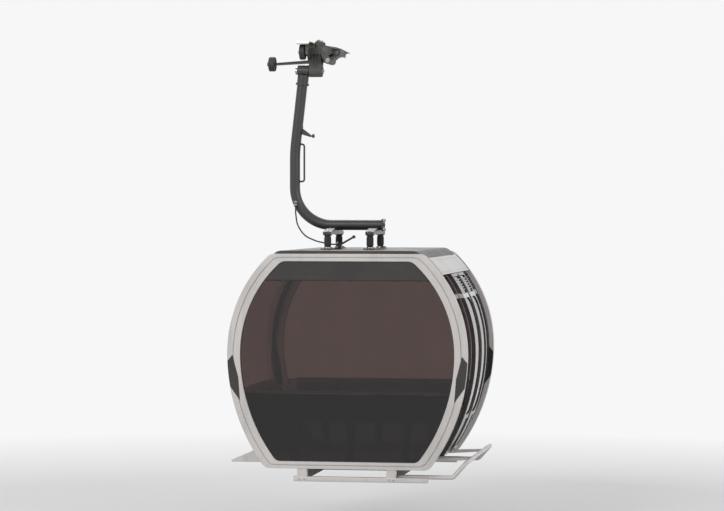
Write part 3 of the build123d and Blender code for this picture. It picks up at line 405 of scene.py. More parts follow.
hardFinishes = {
    "gripCasting": dict(
        base=(0.060, 0.062, 0.055), rough=0.52, metallic=0.2, second=(0.085, 0.090, 0.076), peel=0.10,
        peelScale=260.0, wear=0.9, wearColor=(0.36, 0.36, 0.33), dust=0.25, dustColor=(0.16, 0.14, 0.12)),
    "brightSteel": dict(
        base=(0.50, 0.49, 0.46), rough=0.32, metallic=1.0, second=(0.36, 0.34, 0.31), peel=0.015, wear=0.0,
        lines=0.05, along=(1.0, 0.04, 1.0)),
    "rollerTread": dict(
        base=(0.030, 0.029, 0.028), rough=0.55, peel=0.05, wear=0.35, wearColor=(0.10, 0.10, 0.095),
        dust=0.35),
    "hangerPaint": dict(
        base=(0.032, 0.029, 0.028), rough=0.38, coat=0.25, coatRough=0.25, second=(0.024, 0.021, 0.021),
        peel=0.03, wear=0.35, streaks=0.35, dust=0.22, dustColor=(0.14, 0.125, 0.11)),
    "damperRubber": dict(
        base=(0.022, 0.021, 0.021), rough=0.72, peel=0.06, wear=0.2, wearColor=(0.08, 0.08, 0.08), dust=0.5),
    "cableSheath": dict(base=(0.030, 0.030, 0.032), rough=0.5, peel=0.03, wear=0.0, dust=0.3),
    "frameSilver": dict(
        base=(0.60, 0.575, 0.555), rough=0.34, metallic=0.15, coat=0.35, coatRough=0.15,
        second=(0.545, 0.52, 0.50), peel=0.012, wear=0.25, wearColor=(0.30, 0.29, 0.28), wearRadius=0.004,
        streaks=0.45, dust=0.3),
    "lightPanel": dict(
        base=(0.56, 0.54, 0.525), rough=0.32, metallic=0.1, coat=0.4, coatRough=0.12,
        second=(0.51, 0.49, 0.475), peel=0.012, wear=0.15, wearRadius=0.004, streaks=0.3, dust=0.12),
    "lampLens": dict(base=(0.72, 0.71, 0.68), rough=0.30, second=(0.66, 0.65, 0.61), peel=0.01, wear=0.0),
    "doorShell": dict(
        base=(0.034, 0.029, 0.028), rough=0.26, coat=0.4, coatRough=0.08, second=(0.044, 0.037, 0.035),
        peel=0.010, wear=0.25, wearColor=(0.20, 0.19, 0.18), streaks=0.4, dust=0.3,
        band=(panelLevels["windowTop"], panelLevels["ventBottom"])),
    "darkTrim": dict(
        base=(0.014, 0.011, 0.010), rough=0.20, coat=0.25, coatRough=0.06, second=(0.028, 0.022, 0.020),
        peel=0.006, wear=0.15, wearColor=(0.12, 0.11, 0.10), streaks=0.35, dust=0.3),
    "roofPaint": dict(
        base=(0.040, 0.034, 0.032), rough=0.42, coat=0.15, coatRough=0.3, second=(0.030, 0.026, 0.025),
        peel=0.03, wear=0.25, wearRadius=0.005, streaks=0.2, dust=0.55, dustColor=(0.20, 0.18, 0.16)),
    "underSteel": dict(base=(0.055, 0.052, 0.050), rough=0.55, peel=0.05, wear=0.5, streaks=0.4, dust=0.3),
    "floorSheet": dict(
        base=(0.16, 0.16, 0.165), rough=0.45, metallic=0.7, peel=0.04, wear=0.3, dust=0.35,
        dustColor=(0.16, 0.14, 0.12), tread=0.35),
    "benchMetal": dict(base=(0.16, 0.155, 0.155), rough=0.42, peel=0.03, wear=0.3, dust=0.3),
    "sealRubber": dict(base=(0.014, 0.013, 0.013), rough=0.62, peel=0.03, wear=0.0, dust=0.35),
    "gritSheet": dict(
        base=(0.045, 0.043, 0.042), rough=0.85, second=(0.07, 0.066, 0.062), peel=0.35, peelScale=420.0,
        wear=0.0, dust=0.5),
}
paneFinishes = {
    "smokedPane": dict(tint=(0.25, 0.188, 0.176), lampTint=(0.62, 0.58, 0.56)),
    "ventedPane": dict(
        tint=(0.25, 0.188, 0.176), lampTint=(0.62, 0.58, 0.56),
        darkAbove=(panelLevels["ventBottom"] + panelLevels["windowTop"]) / 2),
    "darkPane": dict(tint=(0.085, 0.068, 0.062), lampTint=(0.40, 0.37, 0.36)),
}
clothFinishes = {
    "seatCloth": dict(base=(0.035, 0.033, 0.036), second=(0.060, 0.056, 0.060)),
    "seatThread": dict(base=(0.16, 0.15, 0.15), second=(0.11, 0.10, 0.10)),
}
finishes = {}
for recipe, kinds in ((hardFinish, hardFinishes), (paneFinish, paneFinishes), (clothFinish, clothFinishes)):
    for name, values in kinds.items():
        finishes[name] = recipe(name, **values)
print("materials made:", len(finishes))


def paint(mesh, finish, smooth=False):
    mesh.materials.clear()
    mesh.materials.append(finishes[finish])
    if smooth:
        for polygon in mesh.polygons:
            polygon.use_smooth = True


# Which finish each CAD node carries
nodeFinish = {
    "gripCasting": "grip_body wheel_beam moving_jaw spring_housings rope_tongues",
    "brightSteel": "jaw_pin hanger_pin wheel_axles friction_plate",
    "rollerTread": "coupling_roller running_wheel_front running_wheel_rear",
    "hangerPaint": "hanger_head hanger_tube hanger_end_plate hanger_grab_rail release_bracket "
                   "suspension_beams roof_rails door_lever cable_glands",
    "damperRubber": "dampers",
    "cableSheath": "door_cable",
    "frameSilver": "front_end_frame rear_end_frame front_bumper_bar rear_bumper_bar outer_guide_rail "
                   "door_guide_rail",
    "darkTrim": "waist_inserts front_header rear_header outer_lower_panel door_kick_panel_front "
                "door_kick_panel_rear outer_window_frame",
    "doorShell": "side_panel_front side_panel_rear door_leaf_front door_leaf_rear",
    "roofPaint": "roof",
    "smokedPane": "front_window rear_window outer_window",
    "ventedPane": "side_window_front side_window_rear door_window_front door_window_rear",
    "darkPane": "front_lower_panel rear_lower_panel",
    "lightPanel": "outer_header door_header",
    "underSteel": "underframe",
    "floorSheet": "floor",
    "benchMetal": "front_bench_frame rear_bench_frame",
    "seatCloth": "front_seat_cushion rear_seat_cushion front_back_cushion rear_back_cushion",
}
for finish, names in nodeFinish.items():
    for name in names.split():
        paint(nodes[name].data, finish)
print("CAD nodes painted")


# Geometry trees: each makes one kind of trim from a seed of edges or points, and paints it
shapeTrees = {}
socketKinds = {
    "Geometry": "NodeSocketGeometry",
    "Material": "NodeSocketMaterial",
    "Sides": "NodeSocketInt",           # every other input is a float
}


def newShapeTree(name, *inputs):
    tree = bpy.data.node_groups.new(name, "GeometryNodeTree")
    for socketName in ("Geometry", *inputs, "Material"):
        kind = socketKinds.get(socketName, "NodeSocketFloat")
        tree.interface.new_socket(name=socketName, in_out="INPUT", socket_type=kind)
    tree.interface.new_socket(name="Geometry", in_out="OUTPUT", socket_type="NodeSocketGeometry")
    shapeTrees[name] = tree
    return tree, tree.nodes.new("NodeGroupInput").outputs


def closeShapeTree(tree, given, shape, smooth):
    real = outputOf(tree, "GeometryNodeRealizeInstances", {"Geometry": shape})
    shaded = outputOf(tree, "GeometryNodeSetShadeSmooth", {"Geometry": real, "Shade Smooth": smooth})
    painted = outputOf(tree, "GeometryNodeSetMaterial", {"Geometry": shaded, "Material": given["Material"]})
    addNode(tree, "NodeGroupOutput", {0: painted})


def sweepRound(tree, given, path, scale=1.0):
    ring = outputOf(tree, "GeometryNodeCurvePrimitiveCircle", {
        "Resolution": given["Sides"], "Radius": given["Radius"],
    })
    return outputOf(tree, "GeometryNodeCurveToMesh", {
        "Curve": path, "Profile Curve": ring, "Scale": scale, "Fill Caps": True,
    })


def placeOnPoints(tree, given, shape, **alignment):
    # one copy on every point, turned to the way that the point's own axis gives
    way = outputOf(tree, "GeometryNodeInputNamedAttribute", {"Name": "axis"}, data_type="FLOAT_VECTOR")
    turn = outputOf(tree, "FunctionNodeAlignRotationToVector", {"Vector": way}, **alignment)
    return outputOf(tree, "GeometryNodeInstanceOnPoints", {
        "Points": given["Geometry"], "Instance": shape, "Rotation": turn,
    })


def makeBeadTree():
    # a round bead along every edge
    tree, given = newShapeTree("edgeBead", "Radius", "Sides")
    path = outputOf(tree, "GeometryNodeMeshToCurve", {"Mesh": given["Geometry"]})
    closeShapeTree(tree, given, sweepRound(tree, given, path), True)


def makeWeldTree():
    # a bead whose thickness rises and falls with each pass of the welder's torch
    tree, given = newShapeTree("weldBead", "Radius", "Step", "Ripple", "Sides")
    path = outputOf(tree, "GeometryNodeMeshToCurve", {"Mesh": given["Geometry"]})
    ringsInStep = 4.0
    finer = outputOf(tree, "GeometryNodeResampleCurve", {
        "Curve": path, "Length": mathNode(tree, "DIVIDE", given["Step"], ringsInStep),
    }, mode="LENGTH")
    length = outputOf(tree, "GeometryNodeSplineParameter", output="Length")
    phase = mathNode(tree, "FRACT", mathNode(tree, "DIVIDE", length, given["Step"]))
    swell = product(tree, mathNode(tree, "PINGPONG", phase, 0.5), given["Ripple"])
    closeShapeTree(tree, given, sweepRound(tree, given, finer, mathNode(tree, "ADD", swell, 1.0)), True)


def makeSlatTree():
    # one rounded slat along Y on every point, tilted from the way that the point faces
    tree, given = newShapeTree("slatRow", "Length", "Thickness", "Height", "Corner", "Tilt")
    half = product(tree, given["Length"], 0.5)
    start, end = [joinParts(tree, Y=product(tree, half, sign)) for sign in (-1.0, 1.0)]
    line = outputOf(tree, "GeometryNodeCurvePrimitiveLine", {"Start": start, "End": end})
    outline = outputOf(tree, "GeometryNodeCurvePrimitiveQuadrilateral", {
        "Width": given["Thickness"], "Height": given["Height"],
    })
    rounded = outputOf(tree, "GeometryNodeFilletCurve", {
        "Curve": outline, "Radius": given["Corner"], "Count": 2, "Limit Radius": True,
    }, mode="POLY")
    slat = outputOf(tree, "GeometryNodeCurveToMesh", {
        "Curve": line, "Profile Curve": rounded, "Fill Caps": True,
    })
    tilted = outputOf(tree, "GeometryNodeTransform", {
        "Geometry": slat, "Rotation": joinParts(tree, Y=given["Tilt"]),
    })
    closeShapeTree(tree, given, placeOnPoints(tree, given, tilted, axis="X", pivot_axis="Y"), False)


def makeStitchTree():
    # one short thread on every point, laid along its run and flat on what it is sewn to
    tree, given = newShapeTree("stitchRow", "Length", "Thickness")
    ball = outputOf(tree, "GeometryNodeMeshUVSphere", {"Segments": 6, "Rings": 4, "Radius": 0.5})
    size = joinParts(tree, X=given["Length"], Y=given["Thickness"], Z=given["Thickness"])
    thread = outputOf(tree, "GeometryNodeTransform", {"Geometry": ball, "Scale": size})
    closeShapeTree(tree, given, placeOnPoints(tree, given, thread, axis="X"), True)


def makeFastenerTree():
    # one washer with a head on every point
    tree, given = newShapeTree("fastenerRow", "Sides", "HeadRadius", "HeadHeight", "CrownRadius",
                               "WasherRadius", "WasherHeight")
    washer = outputOf(tree, "GeometryNodeMeshCylinder", {
        "Vertices": 14, "Radius": given["WasherRadius"], "Depth": given["WasherHeight"],
    })
    head = outputOf(tree, "GeometryNodeMeshCone", {
        "Vertices": given["Sides"], "Radius Bottom": given["HeadRadius"], "Radius Top": given["CrownRadius"],
        "Depth": given["HeadHeight"],
    })
    lift = joinParts(tree, Z=product(tree, given["WasherHeight"], 0.5))
    raised = outputOf(tree, "GeometryNodeTransform", {"Geometry": head, "Translation": lift})
    both = tree.nodes.new("GeometryNodeJoinGeometry")
    for part in (washer, raised):
        tree.links.new(part, both.inputs[0])
    closeShapeTree(tree, given, placeOnPoints(tree, given, both.outputs[0], axis="Z"), False)


for makeTree in (makeBeadTree, makeWeldTree, makeSlatTree, makeStitchTree, makeFastenerTree):
    makeTree()
print("shape trees made:", len(shapeTrees))


def bake(piece):
    # keeps what the modifiers make, as the piece's own mesh
    made = bpy.data.meshes.new_from_object(piece.evaluated_get(bpy.context.evaluated_depsgraph_get()))
    piece.modifiers.clear()
    piece.data = made
    made.name = piece.name


def growPiece(name, seedMesh, treeName, finish, body, slot, **inputs):
    # runs a geometry tree on a seed mesh and keeps the result as one plain piece
    piece = linkObject(name, seedMesh)
    modifier = piece.modifiers.new("grow", "NODES")
    modifier.node_group = shapeTrees[treeName]
    inputs["Material"] = finishes[finish]
    for item in shapeTrees[treeName].interface.items_tree:
        if item.in_out == "INPUT" and item.name in inputs:
            modifier[item.identifier] = inputs[item.name]
    bake(piece)
    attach(piece, body)


def placePiece(name, mesh, finish, body, smooth=False):
    # a given mesh as a piece with its finish
    piece = linkObject(name, mesh)
    paint(mesh, finish, smooth)
    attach(piece, body)


def meshOf(name, form):
    mesh = bpy.data.meshes.new(name)
    form.to_mesh(mesh)
    form.free()
    return mesh


def mergedForm(name, within):
    # a CAD node's loose triangles as one shell
    form = bmesh.new()
    form.from_mesh(nodes[name].data)
    bmesh.ops.remove_doubles(form, verts=form.verts, dist=within)
    return form


def middle(name):
    low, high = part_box(name)
    return (low + high) / 2


def spread(low, high, count):
    return [low + (high - low) * step / (count - 1) for step in range(count)]


def turnsOf(count, first=0.0):
    return [first + 2 * math.pi * step / count for step in range(count)]


def bothWays(size):
    return (-size, size)


# The cabin's side: two arcs that meet at the waist, as in the frame
side = {
    "middleX": (ringLow.x + ringHigh.x) / 2,
    "top": ringHigh.z,
    "waistDrop": 0.934,
    "waistHalf": (ringHigh.x - ringLow.x) / 2,
    "upperRadius": 1.263,
    "lowerRadius": 1.750,
    "roofEdge": dropOf("roof"),
    "eaves": dropOf("door_header"),
    "leafBottom": dropOf("door_leaf_front"),
    "headerInset": 0.002,       # of each wall, from the side's curve
    "panelInset": 0.045,
    "outerInset": 0.020,
}


def sideRadius(drop):
    return side["upperRadius"] if drop < side["waistDrop"] else side["lowerRadius"]


def sidePoint(way, drop, y, inset=0.0):
    radius = sideRadius(drop)
    reach = math.sqrt((radius - inset) ** 2 - (drop - side["waistDrop"]) ** 2)
    return Vector((side["middleX"] + way * (side["waistHalf"] - radius + reach), y, side["top"] - drop))


def sideNormal(way, drop):
    across = math.sqrt(sideRadius(drop) ** 2 - (drop - side["waistDrop"]) ** 2)
    return Vector((way * across, 0.0, side["waistDrop"] - drop)).normalized()


# Rubber seals: a bead round the outer face of every pane and panel
seals = {"endRadius": 0.0042, "sideRadius": 0.0025, "sides": 8, "facing": 0.55, "mergeWithin": 0.00002}
sealRuns = (        # piece, body, the way it looks, nodes
    ("frontSeals", "cabin", (0, -1, 0), "front_header front_window front_lower_panel"),
    ("rearSeals", "cabin", (0, 1, 0), "rear_header rear_window rear_lower_panel"),
    ("outerSeals", "cabin", (-1, 0, 0), "outer_window"),
    ("sideSeals", "cabin", (1, 0, 0), "side_window_front side_window_rear"),
    ("frontDoorSeals", "door_front", (1, 0, 0), "door_window_front door_kick_panel_front"),
    ("rearDoorSeals", "door_rear", (1, 0, 0), "door_window_rear door_kick_panel_rear"),
)


def rimOf(names, outward):
    # edges round the faces of these nodes that look outward
    rim = bmesh.new()
    for name in names:
        shell = mergedForm(name, seals["mergeWithin"])
        facing = {face for face in shell.faces if face.normal.dot(outward) > seals["facing"]}
        corners = {}
        for edge in shell.edges:
            if sum(1 for face in edge.link_faces if face in facing) == 1:
                for vert in edge.verts:
                    if vert not in corners:
                        corners[vert] = rim.verts.new(vert.co)
                rim.edges.new([corners[vert] for vert in edge.verts])
        shell.free()
    return meshOf("rim", rim)


for name, body, outward, names in sealRuns:
    growPiece(name, rimOf(names.split(), Vector(outward)), "edgeBead", "sealRubber", body, "damper_rubber",
              Radius=seals["sideRadius"] if outward[0] > 0 else seals["endRadius"], Sides=seals["sides"])
print("seals made")


# Strips that follow the curved side, each with its way, drops, insets and reach along Y
def sideStrips(rows, steps=24):
    strip = bmesh.new()
    for way, drops, (outer, inner), (near, far) in rows:
        corners = ((outer, near), (outer, far), (inner, far), (inner, near))
        rings = [
            [strip.verts.new(sidePoint(way, drop, y, inset)) for inset, y in corners]
            for drop in spread(*drops, steps + 1)
        ]
        for first, second in zip(rings, rings[1:]):
            for k in range(4):
                strip.faces.new((first[k], first[(k + 1) % 4], second[(k + 1) % 4], second[k]))
        strip.faces.new(rings[0])
        strip.faces.new(list(reversed(rings[-1])))
    bmesh.ops.recalc_face_normals(strip, faces=strip.faces)
    return meshOf("strip", strip)


# Gaskets in the joints between the side walls and the end frames
joint = {
    "width": 0.016,
    "proud": 0.003,         # out of the wall's face, and into it
    "sunk": 0.0005,
    "gap": 0.001,           # at both ends of a gasket
    "walls": (      # way, first drop, last drop, the wall's inset
        (1, side["roofEdge"], side["eaves"], side["headerInset"]),
        (1, side["eaves"], dropOf("side_panel_front"), side["panelInset"]),
        (-1, side["roofEdge"], dropOf("outer_lower_panel"), side["outerInset"]),
    ),
}
for end, sign in (("front", -1), ("rear", 1)):
    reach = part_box("door_header")[1].y
    rows = [
        (way, (first + joint["gap"], last - joint["gap"]), (inset - joint["proud"], inset + joint["sunk"]),
         (sign * (reach - joint["width"]), sign * reach))
        for way, first, last, inset in joint["walls"]
    ]
    placePiece(end + "JointGaskets", sideStrips(rows), "sealRubber", "cabin")

# Door edges: a closing edge, a lip in the seam and a sweep over the floor on each leaf
doorTrim = {
    "drops": (side["eaves"] + 0.015, side["leafBottom"] - 0.008),
    "edgeReach": (0.004, 0.026),        # from the doorway's middle
    "edgeInsets": (-0.004, 0.001),
    "lipReach": (0.0004, 0.0016),
    "lipInsets": (0.002, 0.034),
    "sweepDrops": (side["leafBottom"] - 0.016, side["leafBottom"] + 0.0035),    # clear of the floor
    "sweepInsets": (0.0375, 0.0425),
    "sweepEnd": 0.004,
}
for leaf, sign in (("Front", -1), ("Rear", 1)):
    body = "door_" + leaf.lower()
    for name, part in (("closingEdge", "edge"), ("seamLip", "lip")):
        reach = [sign * y for y in doorTrim[part + "Reach"]]
        strip = sideStrips([(1, doorTrim["drops"], doorTrim[part + "Insets"], reach)])
        placePiece(name + leaf, strip, "sealRubber", body)
    leafLow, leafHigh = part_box("door_leaf_" + leaf.lower())
    reach = (leafLow.y + doorTrim["sweepEnd"], leafHigh.y - doorTrim["sweepEnd"])
    sweep = sideStrips([(1, doorTrim["sweepDrops"], doorTrim["sweepInsets"], reach)], steps=2)
    placePiece("floorSweep" + leaf, sweep, "sealRubber", body)
print("door edges made")


# Fasteners: points with the way they face, one group for each kind and body
fastenerKinds = {
    "hexLarge": {"Sides": 6, "HeadRadius": 0.0125, "HeadHeight": 0.009, "CrownRadius": 0.0112,
                 "WasherRadius": 0.016, "WasherHeight": 0.003},
    "hexSmall": {"Sides": 6, "HeadRadius": 0.0075, "HeadHeight": 0.006, "CrownRadius": 0.0066,
                 "WasherRadius": 0.010, "WasherHeight": 0.002},
    "glandNut": {"Sides": 6, "HeadRadius": 0.0175, "HeadHeight": 0.009, "CrownRadius": 0.0165,
                 "WasherRadius": 0.0160, "WasherHeight": 0.004},
    "rivet": {"Sides": 12, "HeadRadius": 0.0055, "HeadHeight": 0.0022, "CrownRadius": 0.0030,
              "WasherRadius": 0.0060, "WasherHeight": 0.0010},
}


def facingPoints(name, points):
    # a seed of loose points, each with the way it faces
    mesh = bpy.data.meshes.new(name)
    mesh.from_pydata([spot for spot, way in points], [], [])
    axis = mesh.attributes.new("axis", "FLOAT_VECTOR", "POINT")
    for entry, (spot, way) in zip(axis.data, points):
        entry.vector = Vector(way).normalized()
    return mesh


def fasten(name, kind, body, points, finish="brightSteel"):
    growPiece(name, facingPoints(name, points), "fastenerRow", finish, body, "bright_steel",
              **fastenerKinds[kind])


roofBolts = {
    "railHalf": 0.05,
    "beamRow": 0.31,            # from the middle of the roof, along Y
    "beamPair": 0.058,
    "beamDrop": 0.0275,         # from the beams' highest point, on their slope
    "beamSlope": 0.16,
    "endRow": 0.02,             # from the rails' ends
    "endPair": 0.03,
    "plateCorner": 0.044,
    "plateDrop": 0.010,
}


def roofFasteners():
    points = []
    railLow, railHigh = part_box("roof_rails")
    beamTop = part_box("suspension_beams")[1].z - roofBolts["beamDrop"]
    for x in (railLow.x + roofBolts["railHalf"], railHigh.x - roofBolts["railHalf"]):
        for row in bothWays(roofBolts["beamRow"]):
            for step in bothWays(roofBolts["beamPair"]):
                points.append(((x, row + step, railHigh.z), (0, 0, 1)))
        for y in (railLow.y + roofBolts["endRow"], railHigh.y - roofBolts["endRow"]):
            for step in bothWays(roofBolts["endPair"]):
                points.append(((x + step, y, railHigh.z), (0, 0, 1)))
        for way in bothWays(1):
            points.append(((x, way * roofBolts["beamRow"], beamTop), (0, way * roofBolts["beamSlope"], 1)))
    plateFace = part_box("hanger_end_plate")[1].x - roofBolts["plateDrop"]
    plateMiddle = middle("hanger_end_plate")
    for y in bothWays(roofBolts["plateCorner"]):
        for z in bothWays(roofBolts["plateCorner"]):
            points.append(((plateFace, y, plateMiddle.z + z), (1, 0, 0)))
    return points


underBolts = {"sideInset": 0.045, "endInset": 0.12, "count": 8, "barPair": 0.022, "barHeight": 0.023}


def underFasteners():
    points = []
    frameLow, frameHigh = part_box("underframe")
    sides = (frameLow.x + underBolts["sideInset"], frameHigh.x - underBolts["sideInset"])
    ends = (frameLow.y + underBolts["endInset"], frameHigh.y - underBolts["endInset"])
    for x in sides:
        for y in spread(*ends, underBolts["count"]):
            points.append(((x, y, frameLow.z), (0, 0, -1)))
    for name, way in (("front_bumper_bar", -1), ("rear_bumper_bar", 1)):
        barLow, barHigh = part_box(name)
        faceY = barLow.y if way < 0 else barHigh.y
        for x in sides:
            for step in bothWays(underBolts["barPair"]):
                points.append(((x + step, faceY, barLow.z + underBolts["barHeight"]), (0, way, 0)))
    return points


rivetRows = {
    "edge": 0.022,              # from a header's edges
    "wallDrops": (1.345, 1.905),
    "reach": 0.93,
    "count": 16,
}


def shellRivets():
    headerDrops = (side["roofEdge"] + rivetRows["edge"], side["eaves"] - rivetRows["edge"])
    rows = [(1, drop, side["headerInset"]) for drop in headerDrops]
    rows += [(-1, drop, side["outerInset"]) for drop in headerDrops + rivetRows["wallDrops"]]
    return [
        (sidePoint(way, drop, y, inset), sideNormal(way, drop))
        for way, drop, inset in rows
        for y in spread(*bothWays(rivetRows["reach"]), rivetRows["count"])
    ]


gripBolts = {
    "plateX": -0.251,
    "plateRow": (-0.24, -0.14, -0.045, 0.045, 0.14, 0.24),
    "beamHalf": 0.105,
    "beamRows": (-0.002, 0.035),
    "springs": (-0.170, 0.08),          # x, and y to both sides
    "springCover": {"bolts": 4, "firstTurn": 0.785, "radius": 0.0245, "drop": 0.012},
    "axleHalf": 0.215,
    "pinHalf": 0.014,
}


def gripFasteners():
    points = []
    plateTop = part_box("friction_plate")[1].z
    for y in gripBolts["plateRow"]:
        points.append(((gripBolts["plateX"], y, plateTop), (0, 0, 1)))
    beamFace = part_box("wheel_beam")[0].x
    for y in bothWays(gripBolts["beamHalf"]):
        for z in gripBolts["beamRows"]:
            points.append(((beamFace, y, z), (-1, 0, 0)))
    cover = gripBolts["springCover"]
    springX, springHalf = gripBolts["springs"]
    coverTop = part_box("spring_housings")[1].z - cover["drop"]
    for y in bothWays(springHalf):
        for turn in turnsOf(cover["bolts"], cover["firstTurn"]):
            points.append(((springX + cover["radius"] * math.cos(turn), y + cover["radius"] * math.sin(turn),
                            coverTop), (0, 0, 1)))
    pin = middle("jaw_pin")
    for pinEnd, way in zip(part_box("jaw_pin"), bothWays(1)):
        points.append(((pin.x, pinEnd.y, pin.z), (0, way, 0)))
    swingPin = middle("hanger_pin")
    for y in bothWays(gripBolts["pinHalf"]):
        points.append(((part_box("hanger_pin")[1].x, y, swingPin.z), (1, 0, 0)))
    return points


def gripNuts():
    springX, springHalf = gripBolts["springs"]
    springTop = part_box("spring_housings")[1].z
    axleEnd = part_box("wheel_axles")[0].x
    points = [((springX, y, springTop), (0, 0, 1)) for y in bothWays(springHalf)]
    points += [((axleEnd, y, 0.0), (-1, 0, 0)) for y in bothWays(gripBolts["axleHalf"])]
    points.append(((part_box("hanger_pin")[0].x, 0.0, middle("hanger_pin").z), (-1, 0, 0)))
    return points


glandNuts = {"cableRadius": 0.007, "nextNut": 0.028, "roofHeight": 0.0175}


def glandFasteners():
    # one nut at the upper gland's lower end, one near its top, and one where the cable enters the roof gland
    cableLow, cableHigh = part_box("door_cable")
    x, y = cableLow.x + glandNuts["cableRadius"], middle("cable_glands").y
    return [((x, y, cableHigh.z), (0, 0, -1)),
            ((x, y, cableHigh.z + glandNuts["nextNut"]), (0, 0, -1)),
            ((cableHigh.x, y, cableLow.z + glandNuts["roofHeight"]), (-1, 0, 0))]


wheelBolts = {      # from the wheel's middle to the bolts' seats, their radius and their number on a face
    "running_wheel_front": (0.012, 0.042, 5),
    "running_wheel_rear": (0.012, 0.042, 5),
    "coupling_roller": (0.015, 0.039, 5),
}


def wheelFasteners(name):
    faceX, hubRadius, count = wheelBolts[name]
    centre = middle(name)
    return [
        (centre + Vector((way * faceX, hubRadius * math.cos(turn), hubRadius * math.sin(turn))), (way, 0, 0))
        for way in bothWays(1)
        for turn in turnsOf(count)
    ]


fasten("roofBolts", "hexLarge", "cabin", roofFasteners())
fasten("underBolts", "hexSmall", "cabin", underFasteners())
fasten("shellRivets", "rivet", "cabin", shellRivets(), "frameSilver")
fasten("glandNuts", "glandNut", "cabin", glandFasteners())
fasten("gripBolts", "hexSmall", "grip", gripFasteners())
fasten("gripNuts", "hexLarge", "grip", gripNuts())
for wheel in ("running_wheel_front", "running_wheel_rear"):
    fasten(wheel + "Bolts", "hexSmall", wheel, wheelFasteners(wheel))
fasten("couplingRollerBolts", "hexSmall", "coupling_roller", wheelFasteners("coupling_roller"))
print("fasteners made")


# Louvres: slats in front of the small upper panes of the doors and side panels
louvre = {
    "count": 5,
    "pitch": 0.024,
    "ventHeight": 0.160,
    "leafInset": 0.0055,
    "panelInset": 0.0485,
    "slat": {"Thickness": 0.004, "Height": 0.015, "Corner": 0.0015, "Tilt": 0.5},
}
for name, pane, body, inset in (
    ("frontDoorLouvre", "door_window_front", "door_front", louvre["leafInset"]),
    ("rearDoorLouvre", "door_window_rear", "door_rear", louvre["leafInset"]),
    ("frontSideLouvre", "side_window_front", "cabin", louvre["panelInset"]),
    ("rearSideLouvre", "side_window_rear", "cabin", louvre["panelInset"]),
):
    paneLow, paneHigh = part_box(pane)
    ventMiddle = side["top"] - paneHigh.z + louvre["ventHeight"] / 2
    reach = louvre["pitch"] * (louvre["count"] - 1) / 2
    drops = spread(ventMiddle - reach, ventMiddle + reach, louvre["count"])
    seats = [(sidePoint(1, drop, middle(pane).y, inset), sideNormal(1, drop)) for drop in drops]
    growPiece(name, facingPoints(name, seats), "slatRow", "darkTrim", body, "dark_trim",
              Length=paneHigh.y - paneLow.y, **louvre["slat"])
print("louvres made")


# Welds: closed runs round the joints of the hanger, drawn on the tube's own surface
weldBead = {"Radius": 0.0030, "Step": 0.0045, "Ripple": 0.5, "Sides": 6}
arm = {"z": -1.660, "radius": 0.050, "end": 0.440}
weldPlaces = {
    "outsideX": -0.30,          # a point outside the tube, from which its face is found
    "sunk": 0.02,               # and how far inside that face a rod's run is sought
    "railFeet": (-0.880, -1.240),
    "footRadius": 0.0095,
    "plateX": -0.28,
    "plateEnds": (-0.712, -0.778),
    "plateHalf": 0.0065,
    "endOffset": 0.001,
    "beamHalf": 0.040,
    "saddleDrop": 0.030,
}


def onTube(point):
    return nodes["hanger_tube"].closest_point_on_mesh(point)[1]


def roundArm(x, turn, lift=0.0):
    radius = arm["radius"] + lift
    return Vector((x, radius * math.cos(turn), arm["z"] + radius * math.sin(turn)))


def footRun(height, count=24):
    # round a rod that meets the tube square on
    x = onTube(Vector((weldPlaces["outsideX"], 0.0, height))).x + weldPlaces["sunk"]
    radius = weldPlaces["footRadius"]
    return [onTube(Vector((x, radius * math.cos(turn), height + radius * math.sin(turn))))
            for turn in turnsOf(count)]


def plateRun(count=10):
    # round a flat plate that stands on the tube
    heights = spread(*weldPlaces["plateEnds"], count)
    near = [(weldPlaces["plateHalf"], z) for z in heights]
    far = [(-weldPlaces["plateHalf"], z) for z in reversed(heights)]
    return [onTube(Vector((weldPlaces["plateX"], y, z))) for y, z in near + far]


def endRun(count=48):
    # round the arm where it meets the end plate
    x = arm["end"] - weldPlaces["endOffset"]
    return [roundArm(x, turn, weldPlaces["endOffset"]) for turn in turnsOf(count)]


def saddleRun(x, count=16):
    # round the seat of a cross beam below the arm
    low = math.asin(-weldPlaces["saddleDrop"] / arm["radius"])
    turns = spread(low, -math.pi - low, count)
    near = [roundArm(x - weldPlaces["beamHalf"], turn) for turn in turns]
    far = [roundArm(x + weldPlaces["beamHalf"], turn) for turn in reversed(turns)]
    return near + far


def closedRuns(runs):
    corners, edges = [], []
    for run in runs:
        first = len(corners)
        corners += run
        edges += [(first + k, first + (k + 1) % len(run)) for k in range(len(run))]
    mesh = bpy.data.meshes.new("runs")
    mesh.from_pydata(corners, edges, [])
    return mesh


beamLow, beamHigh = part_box("suspension_beams")
weldRuns = [footRun(height) for height in weldPlaces["railFeet"]] + [plateRun(), endRun()]
weldRuns += [saddleRun(x) for x in (beamLow.x + weldPlaces["beamHalf"], beamHigh.x - weldPlaces["beamHalf"])]
growPiece("hangerWelds", closedRuns(weldRuns), "weldBead", "hangerPaint", "cabin", "hanger_paint", **weldBead)
print("welds made")


